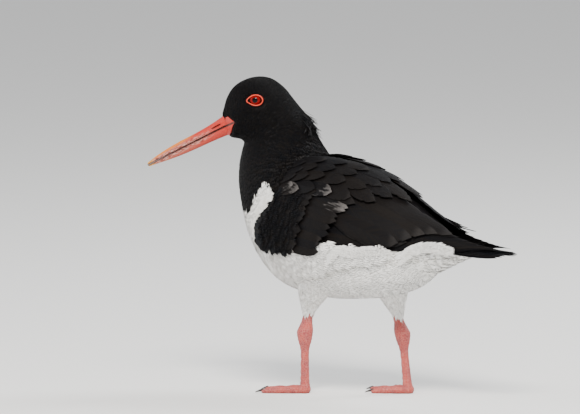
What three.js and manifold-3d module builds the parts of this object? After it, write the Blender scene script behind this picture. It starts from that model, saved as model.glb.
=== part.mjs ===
// A Eurasian oystercatcher, standing in mid stride with its head turned to the left, at life size.
// Millimetres, +Z up. The body points along -X, so the bird's left side is -Y. The floor is z = 0.
import * as THREE from "three";
import { mergeVertices } from "three/addons/utils/BufferGeometryUtils.js";
import Module from "manifold-3d";

const wasm = await Module();
wasm.setup();

// Driving sizes
const GAP = 0.3;
const CENTRE_SHIFT = { x: 1.5, y: 2.6 };
const NECK_AXIS_X = -70;
const HEAD_TURN = THREE.MathUtils.degToRad(35);
const SIDES = { left: -1, right: 1 };

// The body and head as one form, from the tail root to the forehead. Each station is a slice with its
// back and belly point in the bird's middle plane, [along, height], its half width and its egg shape,
// which is positive where the slice is widest near the back. turn is its share of the head's turn.
// along is measured from the neck's axis, which the head turns about.
const BODY_STATIONS = [
  { back: [186, 119.5], belly: [186, 113.5], half: 6, egg: 0, turn: 0 },
  { back: [173, 125], belly: [172, 108], half: 12.5, egg: 0, turn: 0 },
  { back: [159, 130.5], belly: [157.5, 101.5], half: 19.5, egg: 0, turn: 0 },
  { back: [147, 137], belly: [143, 95], half: 27, egg: -0.05, turn: 0 },
  { back: [131, 147], belly: [128, 84], half: 36, egg: -0.1, turn: 0 },
  { back: [107, 160], belly: [106, 77.5], half: 43, egg: -0.14, turn: 0 },
  { back: [80, 172], belly: [78, 74.3], half: 47, egg: -0.16, turn: 0 },
  { back: [54, 180], belly: [48, 74], half: 48, egg: -0.16, turn: 0 },
  { back: [41, 184.5], belly: [16, 81], half: 47.5, egg: -0.13, turn: 0 },
  { back: [36, 187.5], belly: [-4, 96], half: 46, egg: -0.06, turn: 0 },
  { back: [33, 190.5], belly: [-18, 115], half: 43.5, egg: 0, turn: 0.02 },
  { back: [30.5, 194], belly: [-27, 135], half: 40, egg: 0.04, turn: 0.1 },
  { back: [28.5, 198], belly: [-33, 156], half: 35, egg: 0.06, turn: 0.28 },
  { back: [26.8, 202.5], belly: [-33.6, 173], half: 29.5, egg: 0.05, turn: 0.55 },
  { back: [25, 208], belly: [-31, 186.5], half: 25, egg: 0.03, turn: 0.82 },
  { back: [20, 214.5], belly: [-29.3, 192.3], half: 22.4, egg: 0, turn: 1 },
  { back: [11.5, 225], belly: [-31, 194.6], half: 21, egg: 0, turn: 1 },
  { back: [2, 236.5], belly: [-33.5, 195.6], half: 20.2, egg: 0, turn: 1 },
  { back: [-9, 243.6], belly: [-36.5, 196], half: 19.2, egg: 0, turn: 1 },
  { back: [-21, 244.3], belly: [-39, 196.5], half: 17.6, egg: -0.02, turn: 1 },
  { back: [-31.5, 240.6], belly: [-41.2, 197.3], half: 14.8, egg: -0.04, turn: 1 },
  { back: [-38.6, 234.8], belly: [-42.8, 198.6], half: 11.6, egg: -0.06, turn: 1 },
  { back: [-43, 227], belly: [-44, 200.6], half: 8.4, egg: -0.08, turn: 1 },
];
const TAIL_CUT = 2.72;
const NECK_CUT = 11.4;
const HEAD_CUT = 15.15;
const HEAD_ROWS = 11;
const FACE_ROWS = 3;
const FACE_DEPTH = 3.2;

// Head, in the head's own frame: along from the neck's axis, out to the side, height
const EYE = { along: -19.3, side: 12.9, height: 227.1, radius: 6.3 };
const LID = { long: 5.4, high: 4.1, tube: 1.0, corner: 1.5 };
const BILL = {
  base: [-30.5, 212.4],
  tip: [-104.6, 174.6],
  aboveBase: 9.2,
  belowBase: 8.4,
  halfWidth: 6.3,
  rootLength: 9,
};
const NOSTRIL = { from: 0.215, to: 0.305, high: 1.5, deep: 1.7, above: 3.4 };

// Closed wings: the outer form of both together, by x
const WING_FORM = [
  { x: -84, level: 132, top: 160, half: 30 },
  { x: -72, level: 126, top: 179, half: 45 },
  { x: -55, level: 121, top: 185.5, half: 50 },
  { x: -30, level: 118, top: 188, half: 52.3 },
  { x: 0, level: 117, top: 183.5, half: 53 },
  { x: 25, level: 117, top: 175.5, half: 50 },
  { x: 50, level: 116.5, top: 162.5, half: 42.5 },
  { x: 75, level: 117, top: 147, half: 32 },
  { x: 100, level: 118.5, top: 134.5, half: 21 },
  { x: 130, level: 120.5, top: 127, half: 12.5 },
  { x: 160, level: 119.5, top: 121.5, half: 6.5 },
];
const WING_PAD = {
  front: -72,
  frontRound: 26,
  rear: 98,
  depth: 11,
  rearDepth: 8.5,
  outer: -1.7,
  rearOuter: -5,
};

// Feathers of a closed wing, tier by tier. Each tier is a row from its upper feather to its lower one,
// given as pairs for these two. root and tip are x, arc and tipArc degrees round the wing form, half is
// half a feather's width, lift the height of its underside over the form at the root and at the tip, and
// point is 0 for a round tip and 1 for a sharp one.
const WING_TIERS = [
  {
    count: 4, root: [12, 0], tip: [66, 46], arc: [72, 87], tipArc: [76, 91],
    half: [8.5, 7],
    lift: [-5.6, -2.4],
  },
  {
    count: 4, root: [20, 8], tip: [99, 70], arc: [22, 60], tipArc: [36, 74],
    half: [9.5, 11.5],
    lift: [-4.4, -0.4],
  },
  {
    count: 6, root: [-22, -34], tip: [26, 2], arc: [46, 87], tipArc: [50, 91],
    half: [8, 7.2],
    lift: [-3.8, -0.6],
  },
  {
    count: 5, root: [-42, -50], tip: [-9, -20], arc: [48, 87], tipArc: [50, 90],
    half: [8.6, 7.8],
    lift: [-3.4, 0],
  },
  {
    count: 5, root: [-56, -60], tip: [-31, -38], arc: [50, 87], tipArc: [50, 90],
    half: [8, 7.2],
    lift: [-3, 0.2],
  },
  {
    count: 4, root: [-66, -68], tip: [-47, -52], arc: [56, 86], tipArc: [54, 89],
    half: [8, 7],
    lift: [-2.8, 0.4],
  },
  {
    count: 2, root: [6, 2], tip: [58, 44], arc: [12, 32], tipArc: [15, 40],
    half: [8.5, 8.5],
    lift: [-3.8, 0.6],
  },
  {
    count: 3, root: [-16, -16], tip: [32, 22], arc: [11, 43], tipArc: [9, 47],
    half: [9, 8.5],
    lift: [-3.6, 0.8],
  },
  {
    count: 3, root: [-36, -38], tip: [6, -4], arc: [21, 47], tipArc: [17, 47],
    half: [9, 8.5],
    lift: [-3.4, 0.9],
  },
  {
    count: 3, root: [-54, -56], tip: [-16, -24], arc: [32, 52], tipArc: [25, 51],
    half: [8.5, 8],
    lift: [-3.2, 1],
  },
];
const PRIMARIES = {
  left: {
    count: 5, root: [62, 52], tip: [107, 151], arc: [66, 88], tipArc: [52, 84],
    half: [6, 5],
    lift: [-6, -1.2],
  },
  right: {
    count: 3, root: [62, 52], tip: [90, 112], arc: [48, 74], tipArc: [40, 16],
    half: [6, 4.5],
    lift: [-6, 2.2],
  },
};
// Faces along a feather by its shortest length, longest first
const VANE_ROWS = [
  [56, 4],
  [0, 3],
];
const VANE = { thickness: 0.7, roll: 1.3, camber: 0.5, rootShare: 0.55, tipFrom: 0.58 };

// Tail
const TAIL = {
  root: [76, 121.5],
  tip: [151, 118.2],
  pairs: 5,
  half: [4.5, 6.8],
  spread: [1.4, 2.4],
  rounding: 7,
  droop: 1.6,
  step: 0.8,
  thickness: 0.55,
  coreEnd: 104,
  coreHalf: 9,
};
const TAIL_COVERTS = { reach: 0.05, from: 2.35, half: 7, under: 4, over: 3, lift: [-1.6, 0.4] };
const TAIL_ROOT_END = 0.7;

// Legs, each by the height of its parts and their x
const LEGS = {
  left: { hip: [-18, 88], knee: [-26, 66], heel: [-29.5, 47.5], foot: [-29, 0] },
  right: { hip: [18, 90], knee: [26, 64], heel: [31, 47], foot: [36.5, 0] },
};
const LEG_SIDE = { hip: 21, knee: 22, heel: 23, foot: 23.5 };
const LEG_RADIUS = { shin: 4.2, heel: 6.6, shank: 3.5, ankle: 4.6 };
const TOES = {
  inner: { length: 29, spread: 34 },
  middle: { length: 37, spread: -2 },
  outer: { length: 34, spread: -36 },
};
const TOE_RADIUS = { root: 3.5, tip: 2.3 };
const CLAW_LENGTH = 5.2;
const FLAT_DEPTH = 0.5;

// Small helpers

const lerp = THREE.MathUtils.lerp;
const clamp01 = (t) => THREE.MathUtils.clamp(t, 0, 1);
const smooth = (t) => THREE.MathUtils.smoothstep(t, 0, 1);

// A smooth curve through numbers at whole steps.
function along(values, t) {
  const last = values.length - 1;
  const at = THREE.MathUtils.clamp(t, 0, last);
  const i = Math.min(Math.floor(at), last - 1);
  const f = at - i;
  const pick = (k) => values[THREE.MathUtils.clamp(k, 0, last)];
  const a = pick(i - 1);
  const b = pick(i);
  const c = pick(i + 1);
  const d = pick(i + 2);
  return (
    b + 0.5 * f * (c - a + f * (2 * a - 5 * b + 4 * c - d + f * (3 * (b - c) + d - a)))
  );
}

function stationAt(t) {
  const of = (get) => along(BODY_STATIONS.map(get), t);
  return {
    back: [of((s) => s.back[0]), of((s) => s.back[1])],
    belly: [of((s) => s.belly[0]), of((s) => s.belly[1])],
    half: of((s) => s.half),
    egg: of((s) => s.egg),
    turn: of((s) => s.turn),
  };
}

// From a place in the bird's middle plane and out to the side, to the part's frame.
function turned(alongAxis, side, height, share) {
  const angle = HEAD_TURN * share;
  return new THREE.Vector3(
    NECK_AXIS_X + alongAxis * Math.cos(angle) - side * Math.sin(angle),
    alongAxis * Math.sin(angle) + side * Math.cos(angle),
    height,
  );
}

// A point of the body form, round the slice by phi: 0 on the back, a half turn on the belly.
function bodyPoint(t, phi, grow = 0) {
  const s = stationAt(t);
  const mid = [(s.back[0] + s.belly[0]) / 2, (s.back[1] + s.belly[1]) / 2];
  const up = [(s.back[0] - s.belly[0]) / 2, (s.back[1] - s.belly[1]) / 2];
  const high = Math.hypot(up[0], up[1]);
  const scale = (high + grow) / high;
  const side = (s.half + grow) * Math.sin(phi) * (1 + s.egg * Math.cos(phi));
  const c = Math.cos(phi) * scale;
  return turned(mid[0] + up[0] * c, side, mid[1] + up[1] * c, s.turn);
}

// A closed form from a sphere whose every vertex is moved to place(t, phi), with t from 0 to 1 pole to pole.
function formed(around, lengths, place) {
  const g = new THREE.SphereGeometry(1, around, lengths);
  g.deleteAttribute("uv");
  g.deleteAttribute("normal");
  const p = g.getAttribute("position");
  const columns = around + 1;
  for (let i = 0; i < p.count; i++) {
    const column = i % columns;
    const row = Math.floor(i / columns);
    const at = place(row / lengths, (2 * Math.PI * (column % around)) / around);
    p.setXYZ(i, at.x, at.y, at.z);
  }
  return solid(g);
}

function solid(geometry) {
  const bare = geometry.clone();
  for (const name of Object.keys(bare.attributes)) if (name !== "position") bare.deleteAttribute(name);
  const merged = mergeVertices(bare, 1e-4);
  const made = new wasm.Manifold(
    new wasm.Mesh({
      numProp: 3,
      vertProperties: new Float32Array(merged.attributes.position.array),
      triVerts: new Uint32Array(merged.index.array),
    }),
  );
  if (made.volume() > 0) return made;
  const index = merged.index.array;
  for (let i = 0; i < index.length; i += 3) [index[i + 1], index[i + 2]] = [index[i + 2], index[i + 1]];
  return new wasm.Manifold(
    new wasm.Mesh({
      numProp: 3,
      vertProperties: new Float32Array(merged.attributes.position.array),
      triVerts: new Uint32Array(index),
    }),
  );
}

const joined = (pieces) => pieces.reduce((a, b) => a.add(b));
const cut = (piece, tools) => tools.reduce((a, b) => a.subtract(b), piece);
const largest = (piece) =>
  piece.decompose().reduce((a, b) => (a.volume() > b.volume() ? a : b));

// The rings just inside each end share their station with it, so that an end is a flat face.
function bodySlice(from, to, around, lengths, grow = 0) {
  const inner = lengths - 2;
  return formed(around, lengths, (v, phi) => {
    const row = Math.round(v * lengths);
    const t = lerp(from, to, clamp01((row - 1) / inner));
    if (row > 0 && row < lengths) return bodyPoint(t, phi, grow);
    return bodyPoint(t, 0, grow).add(bodyPoint(t, Math.PI, grow)).multiplyScalar(0.5);
  });
}

// The closed wings' outer form
function wingFormAt(x) {
  const xs = WING_FORM.map((s) => s.x);
  const last = xs.length - 1;
  let i = 0;
  while (i < last - 1 && x > xs[i + 1]) i++;
  const t = i + clamp01((x - xs[i]) / (xs[i + 1] - xs[i]));
  return {
    level: along(WING_FORM.map((s) => s.level), t),
    top: along(WING_FORM.map((s) => s.top), t),
    half: along(WING_FORM.map((s) => s.half), t),
  };
}

// A point of it by x and phi, 0 at the top and a quarter turn at its widest, raised by lift.
function wingPoint(side, x, phi, lift = 0) {
  const f = wingFormAt(x);
  const high = f.top - f.level;
  const y = f.half * Math.sin(phi);
  const z = f.level + high * Math.cos(phi);
  const out = new THREE.Vector2(Math.sin(phi) / f.half, Math.cos(phi) / high).normalize();
  return new THREE.Vector3(x, side * (y + out.x * lift), z + out.y * lift);
}

// A slab of even faces from a grid of places: place(u, v, layer), with layer 1 on the outer face.
function slab(nu, nv, place) {
  const plane = new THREE.PlaneGeometry(1, 1, nu, nv);
  const faces = Array.from(plane.index.array);
  const count = plane.getAttribute("position").count;
  const points = [];
  for (const layer of [1, 0])
    for (let j = 0; j <= nv; j++)
      for (let i = 0; i <= nu; i++) points.push(place(i / nu, j / nv, layer));
  const index = [...faces];
  for (let k = 0; k < faces.length; k += 3)
    index.push(faces[k] + count, faces[k + 2] + count, faces[k + 1] + count);
  const columns = nu + 1;
  const rim = [];
  for (let i = 0; i < nu; i++) rim.push(i);
  for (let j = 0; j < nv; j++) rim.push(j * columns + nu);
  for (let i = nu; i > 0; i--) rim.push(nv * columns + i);
  for (let j = nv; j > 0; j--) rim.push(j * columns);
  rim.forEach((a, k) => {
    const b = rim[(k + 1) % rim.length];
    index.push(a, b, a + count, b, b + count, a + count);
  });
  const g = new THREE.BufferGeometry().setFromPoints(points);
  g.setIndex(index);
  return solid(g);
}

// Body, neck, head and tail root

const AROUND = 20;
const makeTorso = (grow = 0) => bodySlice(TAIL_CUT, NECK_CUT, AROUND, 15, grow);

function makeNeck() {
  return bodySlice(NECK_CUT + 0.012, HEAD_CUT - 0.012, AROUND, 8);
}

// Places of the head's own frame, in the part's frame.
const headPlace = (alongAxis, side, height) => turned(alongAxis, side, height, 1);

function eyeball(side, radius) {
  const centre = headPlace(EYE.along, side * EYE.side, EYE.height);
  const g = new THREE.SphereGeometry(radius, 14, 8);
  g.translate(centre.x, centre.y, centre.z);
  return solid(g);
}

// The bare ring round an eye, drawn out to a corner towards the bill.
function lidRing(side, grow) {
  const g = new THREE.TorusGeometry(1, 0.2, 5, 16);
  const p = g.getAttribute("position");
  for (let i = 0; i < p.count; i++) {
    const angle = Math.atan2(p.getY(i), p.getX(i));
    const radial = (Math.hypot(p.getX(i), p.getY(i)) - 1) / 0.2;
    const lift = p.getZ(i) / 0.2;
    const corner = Math.max(0, -Math.cos(angle)) ** 6 * LID.corner;
    const tube = LID.tube + grow;
    const a = Math.cos(angle) * (LID.long + radial * tube) - corner;
    const h = Math.sin(angle) * (LID.high + radial * tube) - corner * 0.35;
    const out = lidDepth(a, h) + lift * (tube + 0.3);
    const at = headPlace(EYE.along + a, side * out, EYE.height + h);
    p.setXYZ(i, at.x, at.y, at.z);
  }
  return solid(g);
}

// How far out the head's side lies round the eye
function lidDepth(a, h) {
  const reach = Math.hypot(a, h * 1.15);
  return EYE.side + Math.sqrt(Math.max(EYE.radius ** 2 - reach ** 2, 1)) * 0.35 + 2.6 + a * 0.09;
}

// Bill

const billAxis = new THREE.Vector2(BILL.tip[0] - BILL.base[0], BILL.tip[1] - BILL.base[1]);
const billLength = billAxis.length();
billAxis.normalize();
const billUp = new THREE.Vector2(billAxis.y, -billAxis.x);
if (billUp.y < 0) billUp.negate();

// A place on the bill: share of its length from the base, out to the side, and above the mouth line.
function billPlace(share, side, above) {
  const a = BILL.base[0] + billAxis.x * share * billLength + billUp.x * above;
  const h = BILL.base[1] + billAxis.y * share * billLength + billUp.y * above;
  return headPlace(a, side, h);
}

// Depth above and below the mouth line and half width, as shares of their sizes at the base
const billTop = (t) => along([1.0, 0.86, 0.7, 0.6, 0.56, 0.55, 0.49, 0.36, 0.17], t * 8);
const billBottom = (t) => along([1.0, 0.93, 0.82, 0.74, 0.69, 0.62, 0.5, 0.33, 0.16], t * 8);
const billHalf = (t) => along([1.0, 0.87, 0.72, 0.61, 0.52, 0.43, 0.34, 0.26, 0.15], t * 8);

function billForm(grow = 0, rows = 13) {
  return formed(12, rows, (v, phi) => {
    const t = clamp01((v * rows - 1) / (rows - 1.6));
    const share = lerp(-BILL.rootLength / billLength, 1, v === 0 ? 0 : t);
    const s = clamp01(share);
    if (v === 0 || v === 1) return billPlace(share + (v ? grow / billLength : -grow / billLength), 0, 0);
    const c = Math.cos(phi);
    const above = c > 0 ? BILL.aboveBase * billTop(s) + grow : BILL.belowBase * billBottom(s) + grow;
    const flatten = Math.sign(c) * Math.abs(c) ** 0.9;
    const half = BILL.halfWidth * billHalf(s) + grow;
    const side = Math.sign(Math.sin(phi)) * Math.abs(Math.sin(phi)) ** 0.85;
    return billPlace(share, half * side, above * flatten);
  });
}

// A block along the bill between two heights above the mouth line.
function billBlock(from, to, low, high, half) {
  const g = new THREE.BoxGeometry(1, 1, 1);
  const p = g.getAttribute("position");
  for (let i = 0; i < p.count; i++) {
    const at = billPlace(
      p.getX(i) > 0 ? to : from,
      Math.sign(p.getY(i)) * half,
      p.getZ(i) > 0 ? high : low,
    );
    p.setXYZ(i, at.x, at.y, at.z);
  }
  return solid(g);
}

function nostrilSlot(side) {
  const g = new THREE.BoxGeometry(1, 1, 1);
  const p = g.getAttribute("position");
  for (let i = 0; i < p.count; i++) {
    const share = p.getX(i) > 0 ? NOSTRIL.to : NOSTRIL.from;
    const half = BILL.halfWidth * billHalf(share);
    const out = p.getY(i) > 0 ? half + 2 : half - NOSTRIL.deep;
    const at = billPlace(share, side * out, NOSTRIL.above + (Math.sign(p.getZ(i)) * NOSTRIL.high) / 2);
    p.setXYZ(i, at.x, at.y, at.z);
  }
  return solid(g);
}

function makeBill() {
  const whole = billForm();
  const reach = 14;
  const upper = whole.intersect(billBlock(-0.3, 1.2, GAP / 2, reach, reach));
  const lower = whole.intersect(billBlock(-0.3, 1.2, -reach, -GAP / 2, reach));
  const slots = Object.values(SIDES).map(nostrilSlot);
  return { upper: largest(cut(upper, slots)), lower: largest(lower) };
}

function makeHead() {
  const front = BODY_STATIONS.length - 1;
  const ahead = headPlace(-1, 0, 0).sub(headPlace(0, 0, 0));
  const rows = HEAD_ROWS + FACE_ROWS;
  const whole = formed(AROUND, rows, (v, phi) => {
    const row = Math.round(v * rows);
    const t = lerp(HEAD_CUT, front, clamp01((row - 1) / (HEAD_ROWS - 1)));
    const middle = bodyPoint(t, 0).add(bodyPoint(t, Math.PI)).multiplyScalar(0.5);
    if (row === 0) return middle;
    const round = clamp01((row - HEAD_ROWS) / FACE_ROWS);
    const kept = Math.sqrt(1 - round ** 2);
    return bodyPoint(t, phi)
      .lerp(middle, 1 - kept)
      .addScaledVector(ahead, FACE_DEPTH * (1 - kept));
  });
  const tools = [billForm(GAP)];
  for (const side of Object.values(SIDES)) {
    tools.push(eyeball(side, EYE.radius + GAP));
    tools.push(lidRing(side, GAP));
  }
  return largest(cut(whole, tools));
}

// Legs

function legPath(side, name, key) {
  const [x, z] = LEGS[name][key];
  return new THREE.Vector3(x, side * LEG_SIDE[key], z);
}

// A limb through places with a radius at each, longer front to back than across.
function limb(places, radii, around, lengths, across = 0.86) {
  const count = places.length - 1;
  const pointAt = (t, get) => along(places.map(get), t * count);
  return formed(around, lengths, (v, phi) => {
    const row = v * lengths;
    const t = clamp01((row - 1) / (lengths - 2));
    const centre = new THREE.Vector3(
      pointAt(t, (p) => p.x),
      pointAt(t, (p) => p.y),
      pointAt(t, (p) => p.z),
    );
    if (v === 0 || v === 1) return centre;
    const r = along(radii, t * count);
    return centre.add(new THREE.Vector3(r * Math.cos(phi), r * across * Math.sin(phi), 0));
  });
}

function makeThigh(name, grow = 0) {
  const side = SIDES[name];
  const hip = legPath(side, name, "hip");
  const knee = legPath(side, name, "knee");
  const places = [
    hip.clone().setZ(hip.z + 12),
    hip,
    hip.clone().lerp(knee, 0.55),
    knee,
    knee.clone().setZ(knee.z - 3),
  ];
  const radii = [22, 19, 12.5, 7, 5.2].map((r) => r + grow);
  return limb(places, radii, 14, 8, 0.8);
}

function makeLeg(name, grow = 0) {
  const side = SIDES[name];
  const at = (key) => legPath(side, name, key);
  const knee = at("knee");
  const heel = at("heel");
  const foot = at("foot");
  const between = (a, b, f) => a.clone().lerp(b, f);
  const places = [
    between(knee, heel, -0.35),
    between(knee, heel, 0.4),
    between(knee, heel, 0.8),
    heel,
    between(heel, foot, 0.13),
    between(heel, foot, 0.3),
    between(heel, foot, 0.6),
    between(heel, foot, 0.82),
    between(heel, foot, 0.95),
    foot,
  ];
  const r = LEG_RADIUS;
  const shares = [r.shin, r.shin, r.heel * 0.86, r.heel, r.heel * 0.8, r.shank, r.shank, r.shank * 1.08];
  const radii = [...shares, r.ankle, r.ankle];
  return limb(places, radii.map((x) => x + grow), 9, 16);
}

function toeForm(name, toe, grow = 0) {
  const side = SIDES[name];
  const foot = legPath(side, name, "foot");
  const { length, spread } = TOES[toe];
  const angle = THREE.MathUtils.degToRad(spread) * -side;
  const ahead = new THREE.Vector3(-Math.cos(angle), Math.sin(angle), 0);
  const across = new THREE.Vector3(ahead.y, -ahead.x, 0);
  return formed(8, 7, (v, phi) => {
    const t = clamp01((v * 7 - 1) / 5);
    const pads = 1 + 0.07 * Math.cos(t * Math.PI * 2 * 3);
    const r = (lerp(TOE_RADIUS.root, TOE_RADIUS.tip, t) * pads + grow) * (t > 0.93 ? 0.8 : 1);
    const centre = foot
      .clone()
      .addScaledVector(ahead, lerp(-1, length, t))
      .setZ(lerp(TOE_RADIUS.root, TOE_RADIUS.tip, t) - FLAT_DEPTH);
    if (v === 0 || v === 1) return centre;
    return centre
      .addScaledVector(across, r * 1.12 * Math.sin(phi))
      .add(new THREE.Vector3(0, 0, r * Math.cos(phi)));
  });
}

function clawForm(name, toe, grow = 0) {
  const side = SIDES[name];
  const foot = legPath(side, name, "foot");
  const { length, spread } = TOES[toe];
  const angle = THREE.MathUtils.degToRad(spread) * -side;
  const ahead = new THREE.Vector3(-Math.cos(angle), Math.sin(angle), 0);
  const across = new THREE.Vector3(ahead.y, -ahead.x, 0);
  return formed(6, 6, (v, phi) => {
    const t = clamp01((v * 6 - 1) / 4);
    const r = lerp(1.5, 0.35, t) + grow;
    const centre = foot
      .clone()
      .addScaledVector(ahead, length - 1.6 + (CLAW_LENGTH + 1.6) * t)
      .setZ(lerp(2.4, 0.9, t * t));
    if (v === 0 || v === 1) return centre;
    return centre
      .addScaledVector(across, r * 0.85 * Math.sin(phi))
      .add(new THREE.Vector3(0, 0, r * Math.cos(phi)));
  });
}

// Everything below the floor is cut away, which leaves the small flats that the bird stands on.
function floorBlock() {
  const g = new THREE.BoxGeometry(600, 600, 40);
  g.translate(0, 0, -20);
  return solid(g);
}

// Feathers

// Half width of a feather along its length, as a share of its widest: narrow at the root, then to a tip that
// is round or sharp.
function vaneWidth(t, point) {
  const grown = lerp(VANE.rootShare, 1, smooth(t / 0.5));
  const past = clamp01((t - VANE.tipFrom) / (1 - VANE.tipFrom));
  return grown * (1 - lerp(0.78, 0.93, point) * past ** lerp(2.6, 1.5, point));
}

// One feather as a thin slab: place(t, across, lift) gives its points from root to tip, with across from -1
// to 1 over its width.
function vane(rows, place, thickness) {
  return slab(rows, 2, (u, v, layer) => {
    const t = 1 - (1 - u) ** 1.4;
    const across = 2 * v - 1;
    return place(t, across, layer * thickness + VANE.camber * (1 - across ** 2));
  });
}

// A wing feather on the wing form. Its lower edge is raised by the roll, so that each lies over the next.
function wingVane(side, tier, share, point) {
  const pick = (pair) => lerp(pair[0], pair[1], share);
  const half = pick(tier.half);
  const length = pick(tier.tip) - pick(tier.root);
  const rows = VANE_ROWS.find(([shortest]) => length >= shortest)[1];
  return vane(
    rows,
    (t, across, raise) => {
      const x = pick(tier.root) + length * t + (1 - across ** 2) * half * 0.3 * t ** 4;
      const f = wingFormAt(x);
      const middle = THREE.MathUtils.degToRad(lerp(pick(tier.arc), pick(tier.tipArc), t));
      const reach = Math.hypot(f.half * Math.cos(middle), (f.top - f.level) * Math.sin(middle));
      const phi = middle + (across * half * vaneWidth(t, point)) / reach;
      const lift = lerp(tier.lift[0], tier.lift[1], t) + (VANE.roll * (across + 1)) / 2 + raise;
      return wingPoint(side, x, phi, lift);
    },
    VANE.thickness,
  );
}

function tierVanes(side, tier, point = 0) {
  return Array.from({ length: tier.count }, (_, i) => wingVane(side, tier, i / (tier.count - 1), point));
}

// Wings

const upperEdge = (x) => THREE.MathUtils.degToRad(lerp(44, 3, smooth((x + 70) / 72)));
const lowerEdge = (x) => THREE.MathUtils.degToRad(lerp(97, 91, smooth((x + 50) / 110)));

// The flesh and feather bases of a wing, which its feathers are rooted in.
function wingPad(side) {
  return slab(11, 6, (u, v, layer) => {
    const front = WING_PAD.front + WING_PAD.frontRound * Math.abs(2 * v - 0.95) ** 2.4;
    const x = lerp(front, WING_PAD.rear, u);
    const phi = lerp(upperEdge(x), lowerEdge(x), v);
    const edge = Math.min(1, u * 6) * Math.min(1, v * 5 + 0.15) * Math.min(1, (1 - v) * 5 + 0.1);
    const back = smooth((x - 30) / 50);
    const outer = lerp(WING_PAD.outer, WING_PAD.rearOuter, back) - 1.2 * (1 - edge);
    return wingPoint(side, x, phi, layer ? outer : -lerp(WING_PAD.depth, WING_PAD.rearDepth, back));
  });
}

function makeWing(name) {
  const side = SIDES[name];
  const feathers = WING_TIERS.flatMap((tier) => tierVanes(side, tier));
  return joined([wingPad(side), ...tierVanes(side, PRIMARIES[name], 1), ...feathers]);
}

// Tail

// Tail feathers lie in pairs, the middle pair on top and the outer ones stepped below it.
function tailVane(side, pair) {
  const share = pair / (TAIL.pairs - 1);
  const [x0, z0] = TAIL.root;
  const [x1, z1] = TAIL.tip;
  const half = lerp(TAIL.half[0], TAIL.half[1], share);
  const end = x1 - TAIL.rounding * share ** 2;
  const top = pair === 0 && side < 0 ? TAIL.step : 0;
  const wide = TAIL.spread[1] * TAIL.pairs + TAIL.half[1];
  return vane(
    4,
    (t, across, raise) => {
      const middle = lerp(TAIL.spread[0], TAIL.spread[1], t) * (pair + 0.5);
      const off = middle + across * half * vaneWidth(t, 0.35) * lerp(0.8, 1.1, t);
      const y = pair === 0 ? off : Math.max(off, GAP * 2 * pair);
      const x = lerp(x0, end, t) + (1 - across ** 2) * half * 0.3 * t ** 4;
      const z = lerp(z0, z1, t) + top - pair * TAIL.step - TAIL.droop * (y / wide) ** 2;
      return new THREE.Vector3(x, side * y, z + raise * 0.75);
    },
    TAIL.thickness / 0.75,
  );
}

// A covert of the tail root, on the body form at phi.
function tailCovert(phi, from, reach) {
  const s = stationAt((from + reach) / 2);
  const half = TAIL_COVERTS.half;
  return vane(
    3,
    (t, across, raise) => {
      const spread = (across * half * vaneWidth(t, 0.3)) / s.half;
      const lift = lerp(TAIL_COVERTS.lift[0], TAIL_COVERTS.lift[1], t);
      return bodyPoint(lerp(from, reach, t), phi + spread, lift + raise);
    },
    VANE.thickness,
  );
}

function makeTail() {
  const core = slab(3, 2, (u, v, layer) => {
    const x = lerp(TAIL.root[0] - 8, TAIL.coreEnd, u);
    const y = lerp(TAIL.coreHalf, TAIL.coreHalf * 0.7, u) * (2 * v - 1);
    const z = lerp(TAIL.root[1], TAIL.tip[1], u * 0.35) + (layer ? 0.2 : -lerp(6, TAIL.step * TAIL.pairs, u));
    return new THREE.Vector3(x, y, z);
  });
  const pieces = [core, bodySlice(TAIL_ROOT_END, TAIL_CUT - 0.03, AROUND, 6)];
  for (let pair = 0; pair < TAIL.pairs; pair++)
    for (const side of Object.values(SIDES)) pieces.push(tailVane(side, pair));
  const { from, reach, under, over } = TAIL_COVERTS;
  for (let i = 0; i < under; i++) pieces.push(tailCovert(Math.PI + 0.6 * (i - (under - 1) / 2), from, reach));
  for (let i = 0; i < over; i++) pieces.push(tailCovert(0.62 * (i - (over - 1) / 2), from, reach + 0.6));
  return joined(pieces);
}

// Assembly

const group = new THREE.Group();
const MATERIALS = {
  black: new THREE.MeshStandardMaterial({ color: 0x0e0d0f, roughness: 0.55, metalness: 0 }),
  white: new THREE.MeshStandardMaterial({ color: 0xe4e3de, roughness: 0.8, metalness: 0 }),
  bill: new THREE.MeshStandardMaterial({ color: 0xe0452a, roughness: 0.4, metalness: 0 }),
  lid: new THREE.MeshStandardMaterial({ color: 0xef4a26, roughness: 0.5, metalness: 0 }),
  eye: new THREE.MeshStandardMaterial({ color: 0xa30f16, roughness: 0.08, metalness: 0 }),
  leg: new THREE.MeshStandardMaterial({ color: 0xd88f87, roughness: 0.55, metalness: 0 }),
  claw: new THREE.MeshStandardMaterial({ color: 0x2a2422, roughness: 0.4, metalness: 0 }),
};

function addNode(name, piece, material) {
  const mesh = largest(piece).getMesh();
  const g = new THREE.BufferGeometry();
  const positions = new Float32Array(mesh.numVert * 3);
  for (let i = 0; i < mesh.numVert; i++)
    positions.set(mesh.vertProperties.subarray(i * mesh.numProp, i * mesh.numProp + 3), i * 3);
  g.setAttribute("position", new THREE.BufferAttribute(positions, 3));
  g.setIndex(new THREE.BufferAttribute(new Uint32Array(mesh.triVerts), 1));
  g.computeVertexNormals();
  const node = new THREE.Mesh(g, material);
  node.name = name;
  node.position.set(CENTRE_SHIFT.x, CENTRE_SHIFT.y, 0);
  group.add(node);
}

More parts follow.
